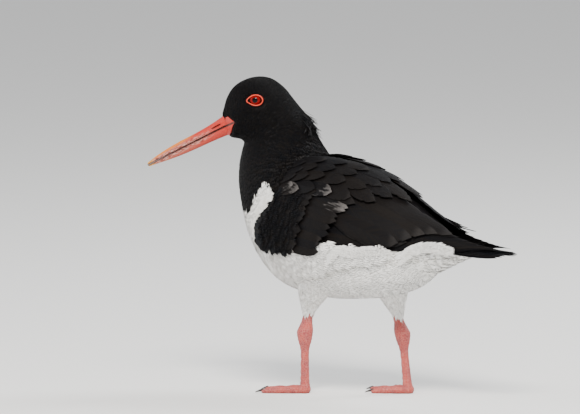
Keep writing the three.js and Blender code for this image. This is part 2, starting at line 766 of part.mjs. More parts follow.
const floor = floorBlock();
const torsoGrown = makeTorso(GAP * 1.3);
const tail = cut(makeTail(), [torsoGrown]);
const overTail = TAIL_COVERTS.lift[1] + VANE.thickness + VANE.camber + GAP;
const tailGrown = bodySlice(TAIL_ROOT_END - 0.2, TAIL_CUT + 0.35, AROUND, 6, overTail);
addNode("torso", makeTorso(), MATERIALS.white);
addNode("neck", makeNeck(), MATERIALS.black);
addNode("head", makeHead(), MATERIALS.black);
const bill = makeBill();
addNode("bill_upper", bill.upper, MATERIALS.bill);
addNode("bill_lower", bill.lower, MATERIALS.bill);
addNode("tail", tail, MATERIALS.black);

for (const [name, side] of Object.entries(SIDES)) {
  addNode(`eye_${name}`, eyeball(side, EYE.radius), MATERIALS.eye);
  addNode(`eyelid_${name}`, cut(lidRing(side, 0), [eyeball(side, EYE.radius + GAP)]), MATERIALS.lid);
  const thigh = cut(makeThigh(name), [torsoGrown]);
  const thighGrown = makeThigh(name, GAP);
  const leg = cut(makeLeg(name), [floor, thighGrown]);
  addNode(`thigh_${name}`, thigh, MATERIALS.white);
  addNode(`leg_${name}`, leg, MATERIALS.leg);
  const taken = [floor, makeLeg(name, GAP)];
  for (const toe of ["middle", "inner", "outer"]) {
    addNode(`toe_${name}_${toe}`, cut(toeForm(name, toe), taken), MATERIALS.leg);
    const claw = cut(clawForm(name, toe), [floor, toeForm(name, toe, GAP)]);
    addNode(`claw_${name}_${toe}`, claw, MATERIALS.claw);
    taken.push(toeForm(name, toe, GAP));
  }
  const middle = slab(1, 1, (u, v, layer) =>
    new THREE.Vector3(lerp(-200, 200, u), side * (layer ? GAP / 2 : -60), lerp(0, 300, v)),
  );
  const wing = cut(makeWing(name), [middle, tailGrown, torsoGrown]);
  addNode(`wing_${name}`, wing, MATERIALS.black);
}

export default group;
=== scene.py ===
"""Dresses the solid oystercatcher with its skin, coat, flight feathers, bill, eyes and legs, and lights it.

It is laid out as an add-on for Blender 4.5 and run as a script. Sizes are in millimetres in the model's own
frame, unless a property says otherwise, and meshes are made in metres.
"""

import math

import bmesh
import bpy
import numpy as np
from bpy.props import FloatProperty, FloatVectorProperty, PointerProperty
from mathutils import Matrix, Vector


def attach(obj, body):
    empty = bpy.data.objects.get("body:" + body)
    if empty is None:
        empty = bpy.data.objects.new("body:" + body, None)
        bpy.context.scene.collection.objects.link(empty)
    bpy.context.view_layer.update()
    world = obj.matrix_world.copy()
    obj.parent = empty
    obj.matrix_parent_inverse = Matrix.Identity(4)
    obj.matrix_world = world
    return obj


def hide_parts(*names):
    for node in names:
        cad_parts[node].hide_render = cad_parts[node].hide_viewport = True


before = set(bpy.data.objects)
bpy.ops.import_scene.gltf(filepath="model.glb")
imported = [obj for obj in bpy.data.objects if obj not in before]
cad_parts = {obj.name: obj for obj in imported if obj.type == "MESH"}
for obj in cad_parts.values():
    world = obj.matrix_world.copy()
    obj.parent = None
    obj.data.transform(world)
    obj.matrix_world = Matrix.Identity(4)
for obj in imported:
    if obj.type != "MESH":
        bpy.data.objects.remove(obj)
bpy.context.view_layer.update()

bl_info = {
    "name": "Oystercatcher",
    "version": (1, 0, 0),
    "blender": (4, 5, 0),
    "location": "3D View > Sidebar > Oystercatcher",
    "description": "A life-size oystercatcher in mid stride, feather by feather",
    "category": "Add Mesh",
}

MM = 0.001
BODY = "root"
SIDES = {"left": -1, "right": 1}
FULL_TURN = 2 * math.pi

# The body and head as one form, as in the solids: slices from the tail root to the forehead, each with its
# back and belly point (along from the neck's axis, height), half width, egg shape and share of the turn.
CENTRE_SHIFT = np.array([1.5, 2.6, 0.0])
NECK_AXIS = -70.0
HEAD_TURN = math.radians(35)
STATIONS = np.array(
    [
        (186, 119.5, 186, 113.5, 6, 0, 0),
        (173, 125, 172, 108, 12.5, 0, 0),
        (159, 130.5, 157.5, 101.5, 19.5, 0, 0),
        (147, 137, 143, 95, 27, -0.05, 0),
        (131, 147, 128, 84, 36, -0.1, 0),
        (107, 160, 106, 77.5, 43, -0.14, 0),
        (80, 172, 78, 74.3, 47, -0.16, 0),
        (54, 180, 48, 74, 48, -0.16, 0),
        (41, 184.5, 16, 81, 47.5, -0.13, 0),
        (36, 187.5, -4, 96, 46, -0.06, 0),
        (33, 190.5, -18, 115, 43.5, 0, 0.02),
        (30.5, 194, -27, 135, 40, 0.04, 0.1),
        (28.5, 198, -33, 156, 35, 0.06, 0.28),
        (26.8, 202.5, -33.6, 173, 29.5, 0.05, 0.55),
        (25, 208, -31, 186.5, 25, 0.03, 0.82),
        (20, 214.5, -29.3, 192.3, 22.4, 0, 1),
        (11.5, 225, -31, 194.6, 21, 0, 1),
        (2, 236.5, -33.5, 195.6, 20.2, 0, 1),
        (-9, 243.6, -36.5, 196, 19.2, 0, 1),
        (-21, 244.3, -39, 196.5, 17.6, -0.02, 1),
        (-31.5, 240.6, -41.2, 197.3, 13.9, -0.04, 1),
        (-38.6, 234.8, -42.8, 198.6, 10.2, -0.06, 1),
        (-43, 227, -44, 200.6, 7.2, -0.08, 1),
    ],
    float,
)
FOREHEAD = len(STATIONS) - 1.0
FACE_DEPTH = 3.2

# How deep the coat lies over the skin, and its feathers' length and half width, by station.
COAT_STATIONS = [0, 2, 5, 9, 11, 13, 15, 17, 20, 22, 23]
COAT_DEPTH = [1.0, 1.2, 1.4, 1.4, 1.4, 1.4, 1.2, 1.1, 0.9, 0.7, 0.6]
COAT_LENGTH = [11, 15, 18, 13, 9, 6.8, 5.2, 4, 3.2, 2.7, 2.2]
COAT_HALF = [2.2, 3.1, 3.6, 2.8, 1.7, 1.35, 1.15, 1, 0.85, 0.72, 0.6]

# The outer form of both closed wings together, as in the solids: x, level, top and half width
WING_STATIONS = np.array(
    [
        (-84, 132, 160, 30),
        (-72, 126, 179, 45),
        (-55, 121, 185.5, 50),
        (-30, 118, 188, 52.3),
        (0, 117, 183.5, 53),
        (25, 117, 175.5, 50),
        (50, 116.5, 162.5, 42.5),
        (75, 117, 147, 32),
        (100, 118.5, 134.5, 21),
        (130, 120.5, 127, 12.5),
        (160, 119.5, 121.5, 6.5),
    ],
    float,
)

# The white of the breast side, in x and height: its front and rear edge from below to its spur's tip
SPUR_HEIGHTS = [90, 105, 111, 117, 126.6, 133.5, 138, 141, 150, 153.8, 158, 162.8, 166]
SPUR_REAR = [-46, -50.5, -55.3, -58.6, -62.9, -63.4, -63.3, -60.3, -52.8, -48, -49, -50.5, -54]
SPUR_FRONT = [-200, -200, -200, -200, -200, -200, -200, -69, -65, -62.5, -60, -57.5, -54]
WHITE_BELOW = 116.0

# Bill, in the head's own frame: along from the neck's axis, height
BILL_BASE = (-30.5, 212.4)
BILL_TIP = (-104.6, 174.6)
BILL_ABOVE = 9.2
BILL_BELOW = 8.4
BILL_HALF = 6.3
BILL_ROOT = 9.0
BILL_TOP_SHARES = [1.0, 0.86, 0.7, 0.6, 0.56, 0.55, 0.49, 0.36, 0.17]
BILL_BOTTOM_SHARES = [1.0, 0.93, 0.82, 0.74, 0.69, 0.62, 0.5, 0.33, 0.16]
BILL_HALF_SHARES = [1.75, 1.22, 0.78, 0.62, 0.52, 0.43, 0.34, 0.26, 0.15]
NOSTRIL_FROM, NOSTRIL_TO, NOSTRIL_ABOVE, NOSTRIL_TILT = 0.205, 0.31, 2.9, -4.0

# The bare corner of the mouth: its middle, how it rises and half its length, then its height over the line of
# the mouth, with how fast that falls and its least and most, and under it, with its least and where it fades
GAPE_ALONG, GAPE_HEIGHT, GAPE_RISE, GAPE_LONG = -42.0, 206.0, 3.0, 6.8
GAPE_OVER, GAPE_FALL, GAPE_OVER_RANGE = 7.6, 7.0, (0.6, 7.8)
GAPE_UNDER, GAPE_UNDER_LEAST, GAPE_FADE_FROM, GAPE_FADE = 8.4, 0.8, 0.3, 0.45

EYE_ALONG, EYE_SIDE, EYE_HEIGHT = -19.3, 12.9, 227.1
EYE_FLAT = 0.88

# Legs: x and height of each joint, the same distance out on both sides
LEGS = {
    "left": {"hip": (-18, 88), "knee": (-26, 66), "heel": (-29.5, 47.5), "foot": (-29, 0)},
    "right": {"hip": (18, 90), "knee": (26, 64), "heel": (31, 47), "foot": (36.5, 0)},
}
LEG_SIDE = {"hip": 21, "knee": 22, "heel": 23, "foot": 23.5}
TOES = {"inner": (29, 34), "middle": (37, -2), "outer": (34, -36)}
TOE_ROWS = 70
THIGH_DOWN = 0.62

# The flank feathers' lower edge in x and height, and their rows: how far each is raised and where it ends
FLANK_X = [-52, -40, -28, -5, 8, 20, 33, 50, 70]
FLANK_Z = [101, 98.5, 97.5, 96, 99, 104, 109, 111, 113]
FLANK_ROWS = [(0, 64), (3.5, 58), (7, 50), (11, 40), (15, 24), (19, 8)]
FLANK_FRONT, FLANK_IN_ROW, FLANK_LONG = -34, 44, 27

# The white feathers over the wing's lower edge: their upper edge in x and height, and how far rows drop
OVERLAP_WAVES = [
    [(20, 114), (27, 120.5), (36, 117.5), (50, 118.5), (60, 119), (67, 115.5)],
    [(76, 116), (85, 122.5), (93, 124), (103, 122.4), (113, 119.5)],
]
OVERLAP_DROPS, OVERLAP_IN_ROW, OVERLAP_LONG = (0, 2, 4), 26, 17.0

# Where the wing's soft coverts begin, by angle round it in degrees and x, and the lean of the spur's strands
SOFT_FRONT = ([50, 63, 74, 81, 88, 93], [-48, -53, -60.3, -63.6, -62.5, -59])
SPUR_LEAN = ([104, 130, 145, 160], [95, 84, 66, 60])
SPUR_TRIES = 900
NAPE_COUNT = 90

# Room that the feathers leave round the eye's ring: how far its middle lies ahead and below, how much more it
# takes along and up, and how far from the eye it counts
EYE_ROOM_AHEAD, EYE_ROOM_BELOW, EYE_ROOM_LONG, EYE_ROOM_HIGH, EYE_ROOM_REACH = 2.8, 0.3, 3.1, 1.1, 16

# Bounds of the white rump, its coverts, the belly's and breast's coat and the mantle, in x, height and side
RUMP_FROM, RUMP_TOP, RUMP_BEHIND = 68, 124, 116
COVERTS_FROM, COVERTS_TOP, COVERTS_BEHIND = 60, 120, 108
BELLY_TOP, VENT_FROM, BREAST_TO, BREAST_TOP = 115, 74, -40, 130
MANTLE_FLOOR, MANTLE_SIDE = 150, 42

# The stage, in metres: half the floor's width, the camera's aim and the lamps' aim
FLOOR_HALF = 9.0
AIM_ACROSS, AIM_UP = -0.0491, 0.1451
LAMP_AIM = (0, 0, 0.13)

SCATTER_GRID = 160
SCATTER_TRIES = 2.6
SMALL_BAKE = 0.003
LONG_BAKE = 0.02


# Curves and forms


def catmull(values, t):
    """A smooth curve through values at whole steps, at each t."""
    values = np.asarray(values, float)
    last = len(values) - 1
    t = np.clip(t, 0, last)
    i = np.minimum(np.floor(t).astype(int), last - 1)
    f = t - i
    a, b, c, d = (values[np.clip(i + k, 0, last)] for k in (-1, 0, 1, 2))
    return b + 0.5 * f * (c - a + f * (2 * a - 5 * b + 4 * c - d + f * (3 * (b - c) + d - a)))


def dense(stations, count):
    """A form's slices as smooth curves, each a row of count numbers."""
    steps = np.linspace(0, len(stations) - 1, count)
    return [catmull(column, steps) for column in stations.T]


def smooth(t):
    """0 to 1, easing in and out."""
    t = np.clip(t, 0, 1)
    return t * t * (3 - 2 * t)


def mix(a, b, t):
    """The value a share t of the way from a to b."""
    return a + (b - a) * t


def turned(along, side, height, share=1.0):
    """From the bird's middle plane to the model's frame, turned about the neck by a share of the turn."""
    angle = HEAD_TURN * share
    x = NECK_AXIS + along * np.cos(angle) - side * np.sin(angle)
    y = along * np.sin(angle) + side * np.cos(angle)
    return np.stack(np.broadcast_arrays(x, y, height), -1) + CENTRE_SHIFT


class BodyForm:
    """The body and head by station a and angle b, which is 0 on the back and half a turn on the belly."""

    flow = -1.0
    steps = np.linspace(0, FOREHEAD, 1601)
    table = dense(STATIONS, 1601)

    def section(self, a, b, lift=0.0):
        """Places in the bird's middle plane, before the turn: along, side, height and share of the turn."""
        values = [np.interp(a, self.steps, column) for column in self.table]
        back_a, back_h, belly_a, belly_h, half, egg, share = values
        up_a, up_h = (back_a - belly_a) / 2, (back_h - belly_h) / 2
        high = np.hypot(up_a, up_h)
        side = (half + lift) * np.sin(b) * (1 + egg * np.cos(b))
        up = np.cos(b) * (high + lift) / high
        kept = np.cos(np.clip(a - FOREHEAD, 0, 1) * math.pi / 2)
        along = (back_a + belly_a) / 2 + up_a * up * kept - (FACE_DEPTH + lift) * (1 - kept)
        return along, side * kept, (back_h + belly_h) / 2 + up_h * up * kept, share

    def place(self, a, b, lift=0.0):
        return turned(*self.section(a, b, lift))

    def find(self, first, height, side, stations, ahead=False):
        """Station and angle of places given by height and x, or by height and distance along the head."""
        a, b = np.meshgrid(np.linspace(*stations, 500), np.linspace(0.05, math.pi - 0.05, 300), indexing="ij")
        along, _, up, _ = self.section(a, b)
        x = along if ahead else (self.place(a, b) - CENTRE_SHIFT)[..., 0]
        x, up = x.ravel(), up.ravel()
        best = [int(np.argmin((x - p) ** 2 + (up - q) ** 2)) for p, q in zip(first, height)]
        angle = b.ravel()[best]
        return a.ravel()[best], angle if side > 0 else FULL_TURN - angle

    def unwrap(self, a, b):
        return np.stack([np.mod(b, FULL_TURN) / FULL_TURN, np.clip(a / (FOREHEAD + 1), 0, 1)], -1)


class WingForm:
    """One closed wing's outer form by x as a, and angle b, which is 0 on top and a quarter at its widest."""

    flow = 1.0
    table = dense(WING_STATIONS, 801)

    def __init__(self, side):
        self.side = side

    def sizes(self, a):
        return [np.interp(a, self.table[0], column) for column in self.table[1:]]

    def place(self, a, b, lift=0.0):
        level, top, half = self.sizes(a)
        high = top - level
        out_y, out_z = np.sin(b) / half, np.cos(b) / high
        size = np.hypot(out_y, out_z)
        y = self.side * (half * np.sin(b) + out_y / size * lift)
        z = level + high * np.cos(b) + out_z / size * lift
        return np.stack(np.broadcast_arrays(a, y, z), -1) + CENTRE_SHIFT

    def unwrap(self, a, b):
        span = WING_STATIONS[-1, 0] - WING_STATIONS[0, 0]
        return np.stack([np.clip((a - WING_STATIONS[0, 0]) / span, 0, 1), np.clip(b / 2.2, 0, 1)], -1)


class LimbForm:
    """A thigh or leg as a tube along places, by share of its length a and angle b round it."""

    flow = 1.0

    def __init__(self, places, radii, across):
        self.places = np.asarray(places, float)
        self.radii = np.asarray(radii, float)
        self.across = across

    def place(self, a, b, lift=0.0):
        t = np.asarray(a) * (len(self.radii) - 1)
        centre = np.stack([catmull(self.places[:, k], t) for k in range(3)], -1)
        r = catmull(self.radii, t) + lift
        ring = np.stack([r * np.cos(b), r * self.across * np.sin(b), 0 * r * b], -1)
        return centre + ring + CENTRE_SHIFT

    def unwrap(self, a, b):
        return np.stack([np.mod(b, FULL_TURN) / FULL_TURN, np.clip(a, 0, 1)], -1)


def slopes(form, a, b, step=0.02):
    """How a form's place changes with a and with b, and which way is out."""
    da = (form.place(a + step, b) - form.place(a - step, b)) / (2 * step)
    db = (form.place(a, b + step) - form.place(a, b - step)) / (2 * step)
    normal = np.cross(da, db)
    size = np.linalg.norm(normal, axis=-1, keepdims=True)
    out = form.place(a, b, 1.0) - form.place(a, b, 0.0)
    sign = np.sign(np.sum(normal * out, -1, keepdims=True))
    return da, db, normal / np.maximum(size, 1e-9) * sign


# Meshes


def finish_piece(obj, material, replaces=()):
    """Gives a finished piece its material, its body and the solids that it stands for."""
    obj.data.materials.append(material)
    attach(obj, BODY)
    if replaces:
        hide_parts(*replaces)


def linked(name, data):
    """A new object in the scene, smooth all over where it is a mesh."""
    obj = bpy.data.objects.new(name, data)
    bpy.context.scene.collection.objects.link(obj)
    if obj.type == "MESH":
        data.polygons.foreach_set("use_smooth", [True] * len(data.polygons))
    return obj


def closed_object(name, bm):
    """An object from a closed bmesh, with its faces turned outwards."""
    bmesh.ops.recalc_face_normals(bm, faces=bm.faces)
    mesh = bpy.data.meshes.new(name)
    bm.to_mesh(mesh)
    bm.free()
    return linked(name, mesh)


def formed(name, around, rows, place):
    """A closed piece from a sphere whose points go to place(v, angle), with v from 0 to 1 pole to pole."""
    bm = bmesh.new()
    bmesh.ops.create_uvsphere(bm, u_segments=around, v_segments=rows, radius=1.0)
    sphere = np.array([v.co for v in bm.verts])
    v = np.arccos(np.clip(sphere[:, 2], -1, 1)) / math.pi
    angle = np.mod(np.arctan2(sphere[:, 1], sphere[:, 0]), FULL_TURN)
    for vert, at in zip(bm.verts, place(v, angle) * MM):
        vert.co = at
    layer = bm.loops.layers.uv.new("OFBake")
    for face in bm.faces:
        marks = [(angle[l.vert.index] / FULL_TURN, v[l.vert.index]) for l in face.loops]
        inner = [u for u, w in marks if 1e-4 < w < 1 - 1e-4]
        wraps = max(inner) - min(inner) > 0.5
        middle = sum(u + (wraps and u < 0.5) for u in inner) / len(inner)
        for loop, (u, w) in zip(face.loops, marks):
            pole = w <= 1e-4 or w >= 1 - 1e-4
            loop[layer].uv = (min(middle if pole else u + (wraps and u < 0.5), 1.0), w)
    return closed_object(name, bm)


def set_attribute(mesh, name, values):
    """A number for each point of a mesh, which its material reads."""
    layer = mesh.attributes.new(name, "FLOAT", "POINT")
    layer.data.foreach_set("value", np.ascontiguousarray(values, np.float32).ravel())


class Vane:
    """A feather's own shape: s from root to tip, c across with its width, h up, and its closed faces."""

    def __init__(self, s, c, h, faces):
        self.s, self.c, self.h = (np.asarray(x, float) for x in (s, c, h))
        self.faces = faces


def leaf(widths, lobes=1, fan=0.0):
    """A small body feather of one or more pointed lobes, each a thin closed leaf."""
    s, c, h, faces = [], [], [], []
    for lobe in range(lobes):
        off = 0.0 if lobes == 1 else fan * (2 * lobe / (lobes - 1) - 1)
        reach = 1 - 0.12 * abs(off) - 0.14 * (lobe % 2)
        start = len(s)
        s.append(0.0)
        c.append(0.3 * off)
        h.append(0.0)
        for share, wide in widths:
            middle = off * share
            s += [share * reach] * 4
            c += [middle - wide / lobes**0.6, middle, middle + wide / lobes**0.6, middle]
            h += [-0.3, 1.0, -0.3, -1.0]
        s.append(reach)
        c.append(off)
        h.append(0.0)
        rings = len(widths)
        tip = start + 1 + 4 * rings
        for k in range(4):
            n = (k + 1) % 4
            faces.append((start, start + 1 + n, start + 1 + k))
            for r in range(rings - 1):
                p, q = start + 1 + 4 * r, start + 5 + 4 * r
                faces.append((p + k, p + n, q + n, q + k))
            q = start + 1 + 4 * (rings - 1)
            faces.append((q + k, q + n, tip))
    return Vane(s, c, h, faces)


def slab_vane(rings, columns, outline, notches=()):
    """A large feather: a thin closed slab with a raised shaft. outline(s) is its width along its length."""
    s = 1 - (1 - np.linspace(0, 1, rings + 1)) ** 1.8
    across = np.linspace(-1, 1, columns + 1)
    across = np.sign(across) * np.abs(across) ** 0.85
    grid_s, grid_c = np.meshgrid(s, across, indexing="ij")
    wide = outline(grid_s, grid_c)
    for at, edge, deep in notches:
        near = np.clip(1 - np.abs(grid_s - at) / 0.022, 0, 1) * (np.sign(grid_c) == edge)
        wide = wide * (1 - deep * near)
    round_tip = 0.05 * (1 - grid_c**2) * grid_s**6
    shaft = np.exp(-((grid_c / 0.07) ** 2)) * (1 - 0.6 * grid_s)
    camber = 1 - grid_c**2
    top_h = 0.5 + 1.6 * camber + 1.1 * shaft
    low_h = -0.5 + 1.6 * camber
    count = grid_s.size
    cols = columns + 1
    faces = []
    for i in range(rings):
        for j in range(columns):
            a, b, c, d = (i * cols + j, i * cols + j + 1, (i + 1) * cols + j + 1, (i + 1) * cols + j)
            faces.append((a, b, c, d))
            faces.append((a + count, d + count, c + count, b + count))
    rim = list(range(columns))
    rim += [i * cols + columns for i in range(rings)]
    rim += [rings * cols + j for j in range(columns, 0, -1)]
    rim += [i * cols for i in range(rings, 0, -1)]
    for k, a in enumerate(rim):
        b = rim[(k + 1) % len(rim)]
        faces.append((b, a, a + count, b + count))
    s2 = np.concatenate([(grid_s + round_tip).ravel()] * 2)
    c2 = np.concatenate([(grid_c * wide).ravel()] * 2)
    h2 = np.concatenate([top_h.ravel(), low_h.ravel()])
    return Vane(s2, c2, h2, faces)


def strewn_mesh(name, places, vane, bake_roots, bake_size, tones):
    """One mesh of many like feathers. places is feathers x points x 3, in millimetres, and tones are numbers
    for each feather that its material reads."""
    count, points = places.shape[:2]
    loops = np.concatenate([np.array(f) for f in vane.faces])
    totals = np.array([len(f) for f in vane.faces])
    all_loops = (loops[None, :] + points * np.arange(count)[:, None]).ravel()
    all_totals = np.tile(totals, count)
    mesh = bpy.data.meshes.new(name)
    mesh.vertices.add(count * points)
    mesh.vertices.foreach_set("co", np.ascontiguousarray(places * MM, np.float32).ravel())
    mesh.loops.add(len(all_loops))
    mesh.loops.foreach_set("vertex_index", all_loops.astype(np.int32))
    mesh.polygons.add(len(all_totals))
    starts = np.concatenate([[0], np.cumsum(all_totals)[:-1]])
    mesh.polygons.foreach_set("loop_start", starts.astype(np.int32))
    mesh.polygons.foreach_set("loop_total", all_totals.astype(np.int32))
    mesh.update(calc_edges=True)
    own = np.stack([vane.c * 0.5 + 0.5, vane.s], -1)[loops]
    bake = bake_roots[:, None, :] + (own - 0.5)[None] * bake_size
    bake_map = mesh.uv_layers.new(name="OFBake")
    bake_map.data.foreach_set("uv", np.clip(bake, 0, 1).astype(np.float32).ravel())
    own_map = mesh.uv_layers.new(name="Vane")
    own_map.data.foreach_set("uv", np.tile(own.ravel(), count).astype(np.float32))
    for key, values in tones.items():
        set_attribute(mesh, key, np.repeat(values, points))
    return linked(name, mesh)


def bake_cells(count):
    """The middles of each large feather's own square of the bake map, and their size."""
    cells = math.ceil(math.sqrt(count))
    n = np.arange(count)
    return np.stack([(n % cells + 0.5) / cells, (n // cells + 0.5) / cells], -1), 0.9 / cells


def coat_mesh(name, form, a, b, shape, places, white, tint, bake=SMALL_BAKE):
    """A piece of the soft coat from its feathers' places, with how white and how tinted they are; on the
    white coat the tint also carries painted shade.
    """
    tones = {"white": np.full(len(a), white), "tint": tint, "worn": np.zeros(len(a))}
    piece = strewn_mesh(name, places, shape, form.unwrap(a, b), bake, tones)
    finish_piece(piece, body_feathers())


def scatter(form, low, high, spacing, keep, seed, spread=(0.0, FULL_TURN)):
    """Evenly strewn places on a form between stations low and high, no two nearer than the spacing there."""
    rng = np.random.default_rng(seed)
    axes = (np.linspace(*ends, SCATTER_GRID) for ends in ((low, high), spread))
    grid_a, grid_b = np.meshgrid(*axes, indexing="ij")
    da, db, _ = slopes(form, grid_a, grid_b)
    area = np.linalg.norm(np.cross(da, db), axis=-1)
    area[:, 0] = area[:, -1] = 0
    steps = SCATTER_GRID - 1
    cell = (high - low) * (spread[1] - spread[0]) / steps**2
    weight = area / spacing(grid_a, grid_b) ** 2
    tries = int(weight.sum() * cell * SCATTER_TRIES)
    picks = rng.choice(weight.size, tries, p=(weight / weight.sum()).ravel())
    a = grid_a.ravel()[picks] + rng.uniform(-0.5, 0.5, tries) * (high - low) / steps
    b = grid_b.ravel()[picks] + rng.uniform(-0.5, 0.5, tries) * (spread[1] - spread[0]) / steps
    a = np.clip(a, low, high)
    at = form.place(a, b)
    good = keep(a, b, at - CENTRE_SHIFT)
    a, b, at = a[good], b[good], at[good]
    near = spacing(a, b)
    size = float(near.max())
    cells = np.floor(at / size).astype(int)
    taken = {}
    chosen = []
    around = [(i, j, k) for i in (-1, 0, 1) for j in (-1, 0, 1) for k in (-1, 0, 1)]
    for n, (key, p, r) in enumerate(zip(map(tuple, cells.tolist()), at.tolist(), near.tolist())):
        close = (q for i, j, k in around for q in taken.get((key[0] + i, key[1] + j, key[2] + k), ()))
        if all((q[0] - p[0]) ** 2 + (q[1] - p[1]) ** 2 + (q[2] - p[2]) ** 2 >= r * r for q in close):
            taken.setdefault(key, []).append(p)
            chosen.append(n)
    return a[chosen], b[chosen]


def lay(form, a, b, vane, length, half, lifts, thick, turn, curl=0.0):
    """Places of small feathers that lie over a form from their roots, each turned by its own angle."""
    da, _, _ = slopes(form, a, b)
    length, half, low, high = (np.broadcast_to(value, a.shape) for value in (length, half, *lifts))
    middle = a + form.flow * 0.5 * length / np.linalg.norm(da, axis=-1)
    da, db, _ = slopes(form, middle, b)
    e, f, g = np.sum(da * da, -1), np.sum(da * db, -1), np.sum(db * db, -1)
    per_b = np.sqrt(e / np.maximum(e * g - f * f, 1e-9))
    per_a = -per_b * f / e
    run = vane.s[None] * length[:, None]
    off = vane.c[None] * half[:, None]
    cos, sin = np.cos(turn)[:, None], np.sin(turn)[:, None]
    ahead, across = run * cos - off * sin, run * sin + off * cos
    at_a = a[:, None] + form.flow * ahead / np.sqrt(e)[:, None] + across * per_a[:, None]
    at_b = b[:, None] + across * per_b[:, None]
    rise = mix(low[:, None], high[:, None], vane.s[None] ** 1.2)
    rise = rise + vane.h[None] * thick + curl * vane.s[None] ** 3
    return form.place(at_a, at_b, rise)


# Materials


def arithmetic(operation, swapped=False):
    """An operator that adds a Math node, with its values swapped for the reflected form."""

    def method(self, other):
        values = (other, self) if swapped else (self, other)
        return self.finish.math(operation, *values)

    return method


class Term:
    """A shader socket that takes part in arithmetic: each expression adds its Math nodes."""

    def __init__(self, finish, socket):
        self.finish = finish
        self.socket = socket

    __add__ = arithmetic("ADD")
    __radd__ = arithmetic("ADD", swapped=True)
    __sub__ = arithmetic("SUBTRACT")
    __rsub__ = arithmetic("SUBTRACT", swapped=True)
    __mul__ = arithmetic("MULTIPLY")
    __rmul__ = arithmetic("MULTIPLY", swapped=True)
    __truediv__ = arithmetic("DIVIDE")
    __pow__ = arithmetic("POWER")
    most = arithmetic("MAXIMUM")
    least = arithmetic("MINIMUM")

    def absolute(self):
        return self.finish.math("ABSOLUTE", self)

    def sine(self):
        return self.finish.math("SINE", self)

    def step(self, low, high):
        """0 below low, 1 above high and smooth between, or the other way round where low is the larger."""
        settings = {"interpolation_type": "SMOOTHSTEP"}
        return self.finish.add("ShaderNodeMapRange", settings, {0: self, 1: low, 2: high})

    def sibling(self, output):
        """Another output of the same node."""
        return Term(self.finish, self.socket.node.outputs[output])


class Finish:
    """A material whose nodes are added by one method."""

    def __init__(self, name):
        self.material = bpy.data.materials.new(name)
        self.material.use_nodes = True
        self.tree = self.material.node_tree
        self.shader = self.tree.nodes["Principled BSDF"]

    def add(self, kind, settings=None, inputs=None, output=0):
        """One output of a new node, given its settings and the values or links of its sockets."""
        node = self.tree.nodes.new(kind)
        for key, value in (settings or {}).items():
            setattr(node, key, value)
        for key, value in (inputs or {}).items():
            self.feed(node.inputs[key], value)
        return Term(self, node.outputs[output])

    def feed(self, socket, value):
        if isinstance(value, Term):
            self.tree.links.new(value.socket, socket)
        elif hasattr(value, "__len__") and len(value) < len(socket.default_value):
            socket.default_value = (*value, 1.0)
        else:
            socket.default_value = value

    def math(self, operation, *values):
        return self.add("ShaderNodeMath", {"operation": operation}, dict(enumerate(values)))

    def vector(self, operation, *values, output=0):
        return self.add("ShaderNodeVectorMath", {"operation": operation}, dict(enumerate(values)), output)

    def combine(self, *values):
        return self.add("ShaderNodeCombineXYZ", inputs=dict(enumerate(values)))

    def where(self):
        """The model's own coordinates, in metres."""
        return self.add("ShaderNodeTexCoord", output="Object")

    def attribute(self, name):
        return self.add("ShaderNodeAttribute", {"attribute_name": name}, output="Fac")

    def noise(self, scale, detail=3.0, vector=None):
        """Noise on the model's own coordinates, in features to the metre, or on a vector of its own."""
        inputs = {"Vector": vector or self.where(), "Scale": scale, "Detail": detail}
        return self.add("ShaderNodeTexNoise", inputs=inputs, output="Fac")

    def blend(self, share, low, high):
        """A colour between two."""
        return self.add("ShaderNodeMix", {"data_type": "RGBA"}, {0: share, 6: low, 7: high}, 2)

    def bump(self, height, strength, distance):
        inputs = {"Height": height, "Strength": strength, "Distance": distance}
        self.feed(self.shader.inputs["Normal"], self.add("ShaderNodeBump", inputs=inputs))

    def set(self, **sockets):
        for key, value in sockets.items():
            self.feed(self.shader.inputs[key.replace("_", " ")], value)
        return self


def feather_finish(name, colours, barbs, barb_depth, rough, gloss):
    """Feathers from black to white by their own white number, with shaft, barbs and worn pale tips.
    barbs is how many show along a feather."""
    finish = Finish(name)
    vane = finish.add("ShaderNodeUVMap", {"uv_map": "Vane"})
    across = finish.add("ShaderNodeSeparateXYZ", inputs={0: vane})
    along = across.sibling(1)
    off = (across - 0.5).absolute() * 2
    white = finish.attribute("white")
    tint = finish.attribute("tint")
    worn = finish.attribute("worn")
    ripple = ((along - off * 0.35) * (barbs * FULL_TURN)).sine() * 0.5 + 0.5
    fray = finish.noise(900, 2.0)
    clump = finish.noise(1.0, 2.0, finish.combine((along - off * 0.3) * barbs * 0.5, off, tint * 40))
    rim = along.step(0.9, 0.99).most(off.step(0.84, 1.0)) * worn
    blot = finish.noise(1.0, 4.0, finish.combine(along * 5, across * 6, tint * 40))
    bleached = (along + (blot - 0.5) * 1.5).step(0.74, 0.98) * (worn * 2 - 1).most(0.0)
    pale = ((rim * 0.5 + bleached) * (0.25 + fray * 0.9)).least(1.0)
    patch = finish.noise(70, 2.0)
    dark = finish.blend((tint + (clump - 0.5) * 1.4).most(0.0).least(1.0), colours.dark, colours.dark_brown)
    dark = finish.blend(pale, dark, colours.worn)
    # The tint varies each feather's tone at random. On the white coat it also carries painted shade, on the
    # belly and under the flank's lower edge.
    light = finish.blend(tint * 0.6 + (patch - 0.3) * 0.5, colours.white, colours.white_shade)
    light = finish.blend(ripple * 0.12, light, colours.white_shade)
    finish.set(
        Base_Color=finish.blend(white, dark, light),
        Roughness=(rough + ripple * 0.08 + white * (0.8 - rough) + pale * 0.2).least(0.95),
        Coat_Weight=(1 - white) * gloss * (1 - pale),
        Coat_Roughness=0.3,
        Specular_IOR_Level=0.06,
    )
    finish.bump(ripple + clump * 1.5 + off.step(0.16, 0.0) * 0.8, barb_depth, 0.0003)
    return finish.material


# Settings


def length(name, description, default):
    """A length in millimetres that a user may change."""
    return FloatProperty(name=name, description=description, default=default, min=0.0)


